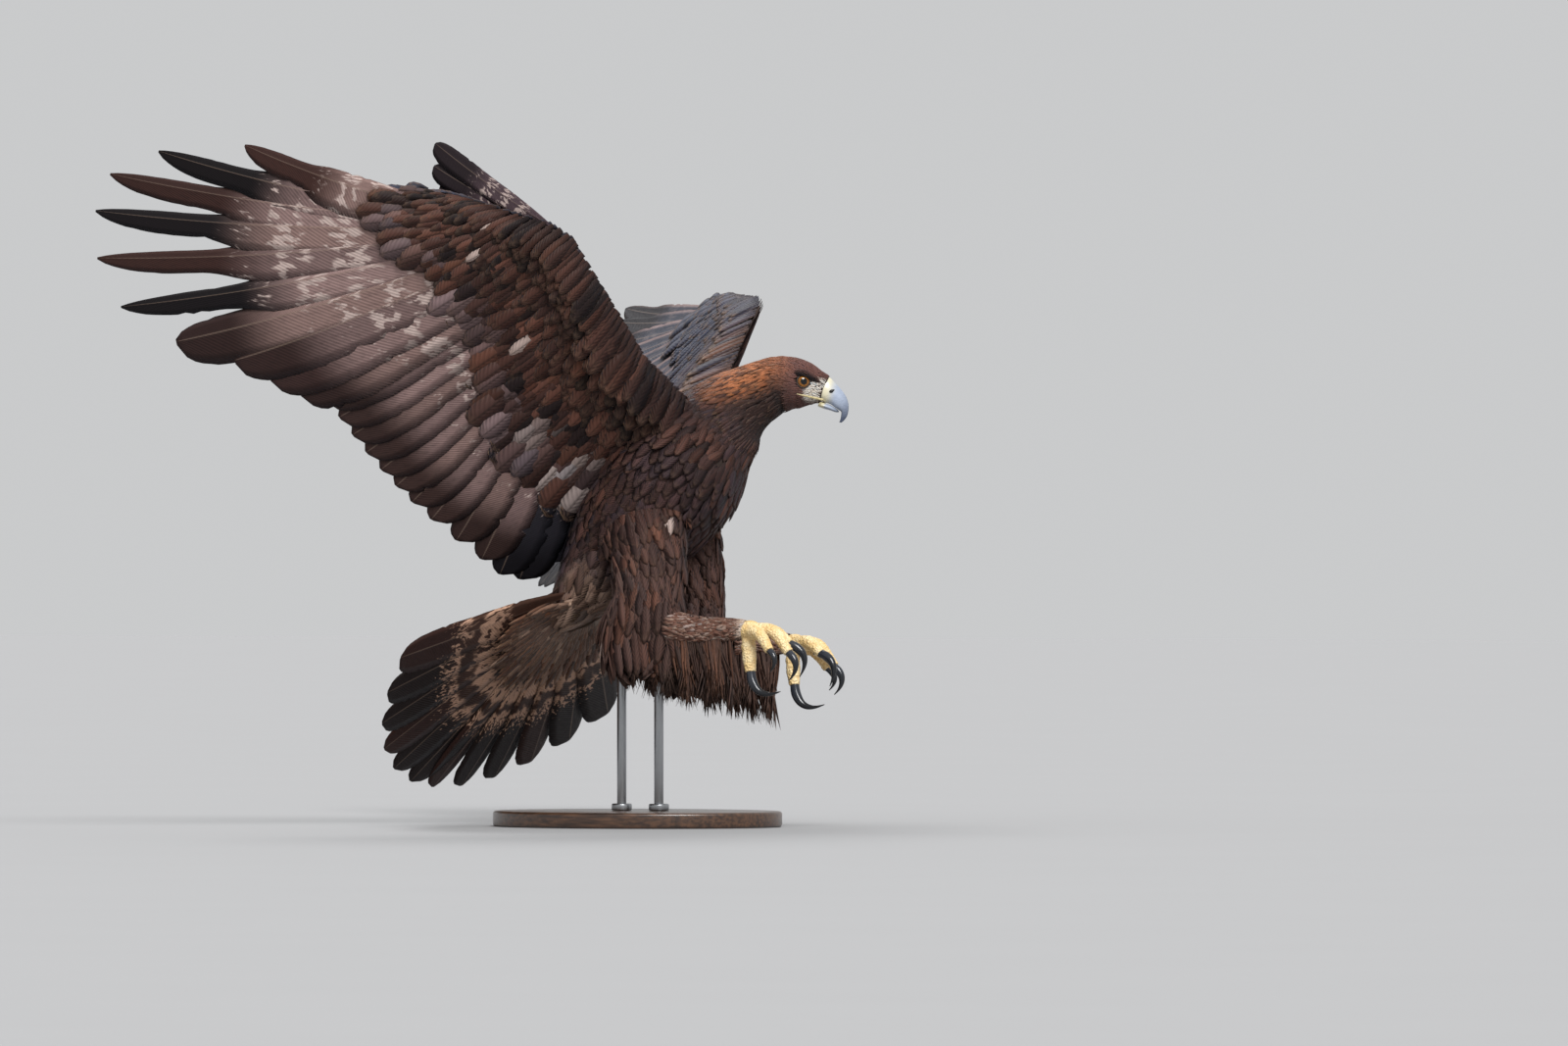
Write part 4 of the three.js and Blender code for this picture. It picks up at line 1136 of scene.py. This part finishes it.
# Each section of a mandible: its top and its bottom, as ahead and up in the head's frame, and half width
UPPER_BILL = (
    ((26.5, 12.6), (21.0, -19.4), 12.9), ((32, 9.6), (27, -21.6), 12.2), ((38, 3.9), (33, -23.5), 10.8),
    ((47, -5.4), (39.5, -27.6), 8.8), ((53.5, -14.6), (45.5, -31.4), 6.9), ((56.6, -25), (47.6, -33.4), 5.0),
    ((55.8, -36), (47.6, -37), 3.3), ((52.6, -42.4), (46.9, -42.4), 2.0), ((48.6, -46.6), (45.6, -46.2), 0.6),
)
LOWER_BILL = (
    ((21, -21.6), (17.6, -27.2), 9.9), ((28, -23.2), (26, -29.8), 8.8), ((34, -25.2), (31.5, -31), 7.3),
    ((41.5, -29.4), (40, -33.4), 4.4), ((44.6, -32.2), (43.8, -33.4), 1.6),
)
# Path from the ball of the foot, and radii
TOES = {
    "hallux": (((-2, 0, -6), (0, 1, -30), (3, 1, -52)), ((0, 9), (0.6, 8.4), (1, 6.4))),
    "inner": (((0, 6, 0), (26, 16, 1), (46, 20, -14)), ((0, 8.6), (0.6, 7.6), (1, 6))),
    "middle": (((2, 0, 1), (32, 0, -1), (56, -2, -28)), ((0, 9), (0.6, 7.8), (1, 6))),
    "outer": (((0, -6, 0), (22, -17, -8), (38, -22, -28)), ((0, 8.2), (0.6, 7), (1, 5.4))),
}
# Chord, way the point looks, radius at the root, and how far the claw arches over its chord
CLAWS = {
    "hallux": (50, (0.86, 0, -0.5), 6.2, 15), "inner": (45, (0.35, 0.05, -0.94), 5.8, 13),
    "middle": (36, (0.05, 0, -1), 5.0, 10), "outer": (28, (0.1, -0.05, -1), 4.4, 8),
}
FOOT_BALL = np.array([182.0, -70.0, -226.0])


BILL_POINTS, BILL_RINGS = 48, 40


def bill_rings(sections):
    """Rings of a mandible, narrow above and full below."""
    columns = np.array([(*top, *bottom, half) for top, bottom, half in sections]).T
    angle = np.linspace(0, 2 * np.pi, BILL_POINTS, endpoint=False)
    drop = (1 - np.cos(angle)) / 2
    spread = np.sign(np.sin(angle)) * np.abs(np.sin(angle)) ** 0.8 * (0.72 + 0.38 * drop)
    rings = []
    for s in np.linspace(0, len(sections) - 1, BILL_RINGS):
        top_ahead, top_up, low_ahead, low_up, half = (stations(column, s) for column in columns)
        ahead, up = top_ahead + (low_ahead - top_ahead) * drop, top_up + (low_up - top_up) * drop
        rings.append([head_point(*place) for place in zip(ahead, spread * half, up)])
    return rings


def horn(name, rings, material, slot, *nodes):
    """A horny piece with a map that goes round it and along it."""
    obj = loft(name, rings)
    count, n = len(rings), len(rings[0])
    around = np.concatenate([np.tile(np.arange(n) / n, count), [0, 0]])
    down = np.concatenate([np.repeat(np.linspace(0, 1, count), n), [0, 1]])
    add_map(obj.data, "vane", np.column_stack([around, down]))
    finish_piece(obj, material, slot, *nodes)


def claw_path(name):
    """Middle line of a claw of the right foot, and its radius at the root."""
    path, _ = TOES[name]
    chord, way, root, sag = CLAWS[name]
    start, before = FOOT_BALL + path[-1], FOOT_BALL + path[-2]
    out, run = unit(start - before), unit(np.array(way, float))
    bulge = unit(out - run * np.dot(out, run))
    at = lambda t: start + run * chord * t + bulge * sag * 4 * t * (1 - t)
    return [at(t) for t in (-0.12, 0.1, 0.25, 0.4, 0.55, 0.7, 0.85, 1)], root


def limb_rings(points, radii, steps, side, flat=ROUND, grow=0.0):
    """Rings of a limb on one side of the bird."""
    return [mirrored(ring, side) for ring in sweep(limb_ring(points, radii, flat), steps, grow=grow)]


def newest(name, *moves):
    """Names the primitive just added, and moves its points, so that the object stays at the origin."""
    obj = bpy.context.object
    obj.name = obj.data.name = name
    for move in moves:
        obj.data.transform(move)
    return obj


def room_way(centre, look):
    return Vector(to_room(centre + look) - to_room(centre)).normalized()


def ball(name, centre, radius, scale=(1, 1, 1)):
    bpy.ops.mesh.primitive_uv_sphere_add(segments=48, ring_count=32, radius=radius * MM)
    obj = newest(name, Matrix.Diagonal((*scale, 1)), Matrix.Translation(Vector(to_room(centre))))
    bpy.ops.object.shade_smooth()
    return obj


def torus_about(name, centre, look, radius, thick, oval=1.0):
    """A thin ring about the direction look."""
    radii = {"major_radius": radius * MM, "minor_radius": thick * MM}
    bpy.ops.mesh.primitive_torus_add(major_segments=56, minor_segments=14, **radii)
    turn = room_way(centre, look).to_track_quat("Z", "Y").to_matrix().to_4x4()
    obj = newest(name, Matrix.Diagonal((1, oval, 1, 1)), turn, Matrix.Translation(Vector(to_room(centre))))
    bpy.ops.object.shade_smooth()
    return obj


def rounded(obj, width, segments):
    """Rounds the sharp rims of a turned piece."""
    apply(obj, "BEVEL", width=width, segments=segments, limit_method="ANGLE")
    bpy.ops.object.shade_smooth_by_angle(angle=math.radians(40))


# Strength of the sky, and the place the camera looks at: metres beside and below the bird's middle
AIR, AIM_BESIDE, AIM_BELOW = 0.6, 0.16875, 0.07875


# Settings, operators and panel

def setting(label, description, default, **kind):
    return bpy.props.FloatProperty(name=label, description=description, default=default, **kind)


def colour_setting(label, description, code):
    return bpy.props.FloatVectorProperty(
        name=label, description=description, default=rgb(code), subtype="COLOR", size=3)


class EagleSettings(bpy.types.PropertyGroup):
    """Spacings, grids, camera and colours that the panel offers"""

    skin_voxel: setting("Skin voxel", "Grid of the remeshed skin", 0.004, unit="LENGTH")
    body_gap: setting("Body feather spacing", "Millimetres between contour feathers", 12.5)
    neck_gap: setting("Hackle spacing", "Millimetres between neck hackles", 4.4)
    head_gap: setting("Head feather spacing", "Millimetres between head feathers", 2.3)
    foot_voxel: setting("Foot voxel", "Grid of the remeshed feet", 0.0011, unit="LENGTH")
    lens: setting("Lens", "Focal length", 360.0)
    azimuth: setting("Azimuth", "Camera direction", math.radians(24), subtype="ANGLE")
    distance: setting("Distance", "Camera to bird", 20.0, unit="LENGTH")
    cere: colour_setting("Cere", "Yellow of the cere", "d2cbb0")
    bill_tip: colour_setting("Bill tip", "Dark end of the bill", "424a5e")


class EAGLE_OT_skin(bpy.types.Operator):
    """One skin for trunk, head, wings and legs, which lies inside the plumage"""

    bl_idname = "eagle.skin"
    bl_label = "Skin"

    def execute(self, context):
        trunk = [trunk_ring(s, -SKIN_DEPTH * min(1, max(0.2, (13 - s) / 3)))
                 for s in np.linspace(0, LAST_STATION, 70)]
        pieces = [loft("trunk_skin", trunk)]
        for name, side in SIDES.items():
            pieces.append(loft("arm_skin", sweep(WINGS[name].arm_ring, 60, 0.3, 11, -2.5)))
            pieces.append(loft("thigh_skin", limb_rings(THIGH, THIGH_RADII, 26, side, THIGH_FLAT, -5)))
            pieces.append(loft("boot_skin", limb_rings(BOOT, BOOT_RADII, 20, side, grow=-2.5)))
            pieces.append(loft("brow_skin", sweep(face_ring(*BROW, side), 16, grow=-0.6)))
        stub = [superellipse(catmull(SPINE, 0) + TAIL_AXIS * x, TAIL_LEFT * w, TAIL_UNDER * d)
                for x, w, d in ((-14, 38, 27), (8, 42, 23), (28, 42, 15), (48, 36, 5))]
        pieces.append(loft("tail_skin", stub))
        skin = fuse("skin", pieces, context.scene.eagle.skin_voxel, 4)
        nodes = ["torso", "neck", "head"]
        nodes += [f"{part}_{side}" for part in ("thigh", "tarsus") for side in SIDES]
        finish_piece(skin, skin_material(), "body_feathers", *nodes)
        return {"FINISHED"}


class EAGLE_OT_trunk_plumage(bpy.types.Operator):
    """Contour feathers on the trunk, hackles on the neck and small feathers on the head"""

    bl_idname = "eagle.trunk_plumage"
    bl_label = "Trunk plumage"

    def execute(self, context):
        size = context.scene.eagle
        body = plumage_material("body_feather", 70, 0.2, 0.4)
        hackles = plumage_material("hackle", 50, 0.5, 0.85)
        short = plumage_material("head_feather", 40, 0.3, 0.12)
        coats = (
            ("body_coat", (0.05, 6.6), size.body_gap, lambda s: 48 - 2.4 * s, lambda s: 11 - 0.6 * s,
             Coat.LEAF, 0.1, 210, 11, body, "body_feathers"),
            ("neck_coat", (6.3, 9.6), size.neck_gap, lambda s: 46 - 3.2 * s, lambda s: 7.2 - 0.5 * s,
             Coat.HACKLE, 0.12, 100, 12, hackles, "nape_feathers"),
            ("head_coat", (9.4, 12.9), size.head_gap, lambda s: profile(((9.4, 13), (11, 7), (12.9, 3.6)), s),
             lambda s: profile(((9.4, 2.6), (11, 1.8), (12.9, 1.4)), s),
             Coat.HACKLE, 0.1, 70, 13, short, "nape_feathers"),
        )
        for *coat, material, slot in coats:
            finish_piece(trunk_coat(*coat), material, slot)
        finish_piece(self.brows(), short, "nape_feathers")
        return {"FINISHED"}

    def brows(self):
        """Tiny feathers over the ridges above the eyes, with painted shade on those that face down, along
        their lower edge.
        """
        rng = np.random.default_rng(14)
        coat = Coat("brow_coat", Coat.HACKLE)
        for half, side in enumerate(SIDES.values()):
            ridge = face_ring(*BROW, side)
            for s, share, point, normal, along in shingles(ridge, 0.02, 0.98, 1.7, rng, -0.4):
                n = len(point)
                # Painted shade: the more a feather faces down, the darker it is painted
                low = clamp(-normal[:, 2] * 1.5 + 0.5)
                tint = variety(rng, n) * blend(CROWN, PAINTED_BROW_SHADE, 0.4 + 0.6 * low)
                place = np.column_stack([0.5 * (share + half), np.full(n, 0.95 * s)])
                coat.add(point, -along, normal, rng.uniform(3, 4.5, n), 0.9, tint, place, 0.08, 40)
        return coat.make()


# Feathers, and the locks they are drawn together in, that hang between two places of the right leg
FRINGE, LOCKS = 1500, 12
FRINGE_FROM, FRINGE_TO = np.array([-6, -64, -214]), np.array([146, -70, -232])


class EAGLE_OT_leg_plumage(bpy.types.Operator):
    """Trousers, their loose hanging locks and the feathered tarsi"""

    bl_idname = "eagle.leg_plumage"
    bl_label = "Leg plumage"

    def execute(self, context):
        material = plumage_material("trouser_feather", 60, 0.15, 0.3)
        thigh, boot = limb_ring(THIGH, THIGH_RADII, THIGH_FLAT), limb_ring(BOOT, BOOT_RADII)
        for name, side in SIDES.items():
            pieces = [
                limb_coat(f"thigh_coat_{name}", thigh, (0.04, 0.97), 10, lambda s: 38 + 22 * s, 8,
                          self.thigh_tint, side, 21, (0, 0.45), 0.08, 220),
                limb_coat(f"boot_coat_{name}", boot, (0, 0.97), 3.4, lambda s: 15 - 6 * s, 2.5,
                          self.boot_tint, side, 22, (0.48, 0.72), 0.14, 60),
                self.fringe(f"fringe_{name}", side),
            ]
            finish_piece(join(f"leg_coat_{name}", pieces), material, "body_feathers")
        return {"FINISHED"}

    def thigh_tint(self, s, point, rng):
        n = len(point)
        ground = blend(THIGH_BROWN, BROWN, clamp(1.5 - 3.2 * s))
        ground = blend(ground, rgb("7b4e3b"), 0.65 * rng.random(n) * patches(point, 13) ** 2)
        return flecked(variety(rng, n, 0.24) * ground, rng, 0.006)

    def boot_tint(self, s, point, rng):
        n = len(point)
        pale = clamp(s * 4 - 2.9) + 0.4 * rng.random(n) ** 3
        return flecked(variety(rng, n) * blend(rgb("714d40"), BOOT_PALE, pale), rng, 0.04)

    def fringe(self, name, side):
        """Loose locks hanging from the back of the thigh and the heel, drawn together to ragged points."""
        rng, n = np.random.default_rng(23), FRINGE
        t = rng.random(n)
        face = rng.choice((-1, 1), n)
        fore, aside = rng.normal(0, 6, n), face * (23 - 15 * t) * rng.uniform(0.5, 1, n)
        scatter = np.column_stack([fore, aside, rng.uniform(-14, 20, n)])
        root = FRINGE_FROM + (FRINGE_TO - FRINGE_FROM) * t[:, None] + scatter
        lock = np.clip(np.round(t * LOCKS - 0.5 + rng.normal(0, 0.25, n)), 0, LOCKS - 1)
        middle = (lock + 0.5) / LOCKS
        x = -6 + 172 * middle + rng.normal(0, 4.5, n)
        z = -284 - 38 * middle**0.6 - 11 * (lock % 2) + 22 * rng.random(n) ** 2
        y = -66 + 11 * np.sin(lock * 2.4) + rng.normal(0, 5, n)
        along = np.column_stack([x, y, z]) - root
        length = np.linalg.norm(along, axis=1) * rng.uniform(0.6, 1.04, n)
        normal = rng.normal(0, 0.4, (n, 3)) * (1, 0, 0) + face[:, None] * (0.1, 1.0, 0)
        ground = blend(rgb("46352f"), rgb("80553f"), 0.7 * (np.sin(lock * 1.9 + 1) > 0.6) * rng.random(n))
        ground = blend(ground, rgb("775547"), 0.6 * clamp(2.4 * t - 1.3) * rng.random(n))
        half, tint = rng.uniform(1.2, 4.2, n), variety(rng, n, 0.3) * ground
        place = np.column_stack([0.75 + 0.24 * t, rng.random(n)])
        coat = Coat(name, Coat.HACKLE)
        turned = (mirrored(vectors, side) for vectors in (root, along, normal))
        coat.add(*turned, length, half, tint, place, 0.04, 300)
        return coat.make()


class EAGLE_OT_wings(bpy.types.Operator):
    """Flight feathers and coverts of both wings"""

    bl_idname = "eagle.wings"
    bl_label = "Wings"

    def execute(self, context):
        web = quill_material("wing_quill", rgb("cfbab2"), 0.85, 46, (0.2, 0.6), 4.2, 0.02, 0.35)
        coverts = {
            1: ("under", plumage_material("underwing_covert", 60, 0.2, 0.4)),
            -1: ("upper", plumage_material("upperwing_covert", 60, 0.8, 0.4)),
        }
        for name, wing in WINGS.items():
            quills = wing_quills(wing, np.random.default_rng(31)) + alula_quills(wing)
            nodes = [f"wing_{part}_{name}" for part in ("upperarm", "forearm", "hand")]
            finish_piece(long_feathers(f"flight_feathers_{name}", quills, 32), web, "wing_feathers", *nodes)
            for face, (label, material) in coverts.items():
                lining = wing_lining(f"{label}wing_coverts_{name}", wing, face, 33 + face)
                finish_piece(lining, material, "wing_feathers")
        return {"FINISHED"}


class EAGLE_OT_tail(bpy.types.Operator):
    """Twelve tail feathers and the coverts over their roots"""

    bl_idname = "eagle.tail"
    bl_label = "Tail"

    def execute(self, context):
        quills = tail_quills(np.random.default_rng(41))
        web = quill_material("tail_quill", rgb("bf9880"), 0.95, 26, (0.38, 0.64), 2.6, 0.1, 0.55)
        finish_piece(long_feathers("tail_feathers", quills, 42), web, "tail_feathers", "tail")
        covert = plumage_material("tail_covert", 50, 0.4, 0.6)
        finish_piece(tail_lining("tail_coverts", 43), covert, "body_feathers")
        return {"FINISHED"}


class EAGLE_OT_face(bpy.types.Operator):
    """Eyes, eyelids, bill with its cere, and the corners of the mouth"""

    bl_idname = "eagle.face"
    bl_label = "Face"

    def execute(self, context):
        size = context.scene.eagle
        upper = horn_material("bill_horn", tuple(size.cere), rgb("98a2b4"), tuple(size.bill_tip),
                              0.26, (0.1, 0.34), (0.4, 1.0))
        lower = horn_material("lower_bill_horn", rgb("d6cba2"), rgb("959eae"), rgb("434b5d"),
                              0.28, (0.1, 0.3), (0.6, 1.1))
        horn("bill_upper_shell", bill_rings(UPPER_BILL), upper, "bill", "bill_upper")
        horn("bill_lower_shell", bill_rings(LOWER_BILL), lower, "bill", "bill_lower")
        eye = eye_material()
        lids, gapes, nostril_shadows = [], [], []
        for name, side in SIDES.items():
            self.eyeball(name, side, eye)
            look = eye_look(side)
            lids.append(torus_about("lid", eye_centre(side) + look * 7.1, look, 8.5, 0.95, 0.92))
            gapes.append(loft("gape", sweep(face_ring(*GAPE, side), 24)))
            # Near-black nostrils: a painted shadow standing in for the openings in the cere
            nostril_shadows.append(loft("nostril", sweep(face_ring(*NOSTRIL, side), 16)))
        for name, pieces, skin, dark, light in (
            ("eyelids", lids, "dark_lid", "1d1614", "3a2f29"),
            ("mouth_corners", gapes, "gape_skin", "a3946c", "cabd90"),
            # Near-black colours: the painted shadow of the nostrils
            ("nostril_shadows", nostril_shadows, "painted_nostril_shadow", "0c0a0a", "1c1816"),
        ):
            finish_piece(join(name, pieces), bare_material(skin, rgb(dark), rgb(light)), "bill")
        return {"FINISHED"}

    def eyeball(self, name, side, material):
        """An eye whose map holds each point's angle from its axis, which the iris goes by."""
        centre = eye_centre(side)
        obj = ball(f"eyeball_{name}", centre, 11)
        look, middle = room_way(centre, eye_look(side)), Vector(to_room(centre))
        layer = obj.data.uv_layers.new(name="vane")
        for loop in obj.data.loops:
            out = (obj.data.vertices[loop.vertex_index].co - middle).normalized().angle(look)
            layer.data[loop.index].uv = (0.5, out)
        finish_piece(obj, material, "eye", f"eye_{name}")


class EAGLE_OT_feet(bpy.types.Operator):
    """Scaled yellow toes with their joint pads, and the black claws"""

    bl_idname = "eagle.feet"
    bl_label = "Feet"

    def execute(self, context):
        skin = toe_material()
        talon = horn_material("claw_horn", rgb("2b2e35"), rgb("15171c"), rgb("0b0c10"), 0.2)
        for name, side in SIDES.items():
            pieces = [ball("palm", mirrored(FOOT_BALL, side), 14, (1.1, 1, 0.95))]
            for toe, (path, radii) in TOES.items():
                points = [FOOT_BALL + p for p in path]
                pieces.append(loft("toe", limb_rings(points, radii, 24, side)))
                pieces += self.pads(points, radii, side)
                claw, root = claw_path(toe)
                widths = (0, root * 0.86), (0.15, root), (0.55, root * 0.7), (1, 0.5)
                rings = limb_rings(claw, widths, 40, side)
                horn(f"talon_{toe}_{name}", rings, talon, "claw", f"claw_{toe}_{name}")
            foot = fuse(f"toes_{name}", pieces, context.scene.eagle.foot_voxel, 5)
            finish_piece(foot, skin, "toe_skin", f"foot_{name}")
        return {"FINISHED"}

    def pads(self, points, radii, side):
        """Swollen joints below and broad overlapping scales on top of a toe."""
        last = len(points) - 1
        made = []
        for s in (0.3, 0.62, 0.92):
            along = heading(points, s * last, 0.02)
            below = unit(np.array([along[2], 0, -along[0]]))
            radius = float(profile(radii, s))
            centre = catmull(points, s * last) + below * radius * 0.3
            made.append(ball("pad", mirrored(centre, side), radius * 0.86))
        for s in np.linspace(0.5, 0.98, 7):
            centre = mirrored(catmull(points, s * last), side)
            along = mirrored(heading(points, s * last, 0.02), side)
            made.append(torus_about("scute", centre, along, float(profile(radii, s)) - 0.5, 1.35))
        return made


class EAGLE_OT_stand(bpy.types.Operator):
    """Oval wooden base with a rounded rim, and two steel rods in collars"""

    bl_idname = "eagle.stand"
    bl_label = "Stand"

    def execute(self, context):
        low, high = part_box("stand_base")
        size = high - low
        bpy.ops.mesh.primitive_cylinder_add(vertices=160, radius=1, depth=1)
        shape = Matrix.Diagonal((size.x / 2, size.y / 2, size.z, 1))
        base = newest("display_base", shape, Matrix.Translation((low + high) / 2))
        rounded(base, 0.004, 5)
        finish_piece(base, wood_material(), "stand_wood", "stand_base")
        steel = steel_material()
        for which in ("front", "rear"):
            node = f"stand_rod_{which}"
            low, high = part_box(node)
            foot = Vector(((low.x + high.x) / 2, (low.y + high.y) / 2, low.z))
            rod = self.turned(f"rod_{which}", foot, high.z - low.z, 0.006, 0.0008)
            collar = self.turned("collar", foot, 0.009, 0.013, 0.002)
            finish_piece(join(f"rod_{which}", [rod, collar]), steel, "stand_steel", node)
        return {"FINISHED"}

    def turned(self, name, foot, height, radius, rim):
        """A round upright piece on its foot, with rounded rims."""
        bpy.ops.mesh.primitive_cylinder_add(vertices=48, radius=radius, depth=height)
        obj = newest(name, Matrix.Translation(foot + Vector((0, 0, height / 2))))
        rounded(obj, rim, 3)
        return obj


class EAGLE_OT_stage(bpy.types.Operator):
    """Pale floor, soft lights and the camera"""

    bl_idname = "eagle.stage"
    bl_label = "Stage"

    def execute(self, context):
        bpy.ops.mesh.primitive_plane_add(size=60)
        floor = bpy.context.object
        floor.name = "studio_floor"
        floor.data.materials.append(studio_material())
        world = bpy.data.worlds.new("studio_air")
        context.scene.world = world
        world.use_nodes = True
        sky = world.node_tree.nodes["Background"]
        sky.inputs["Color"].default_value = (0.98, 0.99, 1.0, 1)
        sky.inputs["Strength"].default_value = AIR
        size = context.scene.eagle
        toward = Vector((math.sin(size.azimuth), -math.cos(size.azimuth), 0))
        across = Vector((math.cos(size.azimuth), math.sin(size.azimuth), 0))
        up = Vector((0, 0, 1))
        self.soft_light("key", toward + across * 0.3 + up * 1.1, 3.6)
        self.soft_light("rim", up * 1.2 - toward - across * 0.4, 1.4)
        body = Vector(BIRD_PLACE) * MM
        aim = body + across * AIM_BESIDE - up * AIM_BELOW
        camera = bpy.data.objects.new("camera", bpy.data.cameras.new("camera"))
        context.scene.collection.objects.link(camera)
        camera.location = aim + toward * size.distance
        camera.rotation_euler = (-toward).to_track_quat("-Z", "Y").to_euler()
        camera.data.lens, camera.data.sensor_width = size.lens, 36.0
        camera.data.clip_end = 200
        context.scene.camera = camera
        context.scene.view_settings.view_transform = "Standard"
        return {"FINISHED"}

    def soft_light(self, name, source, strength):
        data = bpy.data.lights.new(name, "SUN")
        data.energy, data.angle = strength, math.radians(28)
        obj = bpy.data.objects.new(name, data)
        bpy.context.scene.collection.objects.link(obj)
        obj.rotation_euler = source.to_track_quat("Z", "Y").to_euler()


STEPS = ("skin", "trunk_plumage", "leg_plumage", "wings", "tail", "face", "feet", "stand", "stage")


class EAGLE_PT_panel(bpy.types.Panel):
    """Sizes, colours and the steps in order"""

    bl_idname = "EAGLE_PT_panel"
    bl_label = "Golden eagle"
    bl_space_type = "VIEW_3D"
    bl_region_type = "UI"
    bl_category = "Eagle"

    def draw(self, context):
        for name in EagleSettings.__annotations__:
            self.layout.prop(context.scene.eagle, name)
        for step in STEPS:
            self.layout.operator(f"eagle.{step}")


CLASSES = (
    EagleSettings, EAGLE_OT_skin, EAGLE_OT_trunk_plumage, EAGLE_OT_leg_plumage, EAGLE_OT_wings, EAGLE_OT_tail,
    EAGLE_OT_face, EAGLE_OT_feet, EAGLE_OT_stand, EAGLE_OT_stage, EAGLE_PT_panel,
)


def register():
    for cls in CLASSES:
        bpy.utils.register_class(cls)
    bpy.types.Scene.eagle = bpy.props.PointerProperty(type=EagleSettings)


def unregister():
    del bpy.types.Scene.eagle
    for cls in reversed(CLASSES):
        bpy.utils.unregister_class(cls)


def main():
    register()
    for step in STEPS:
        getattr(bpy.ops.eagle, step)()


if __name__ == "__main__":
    main()
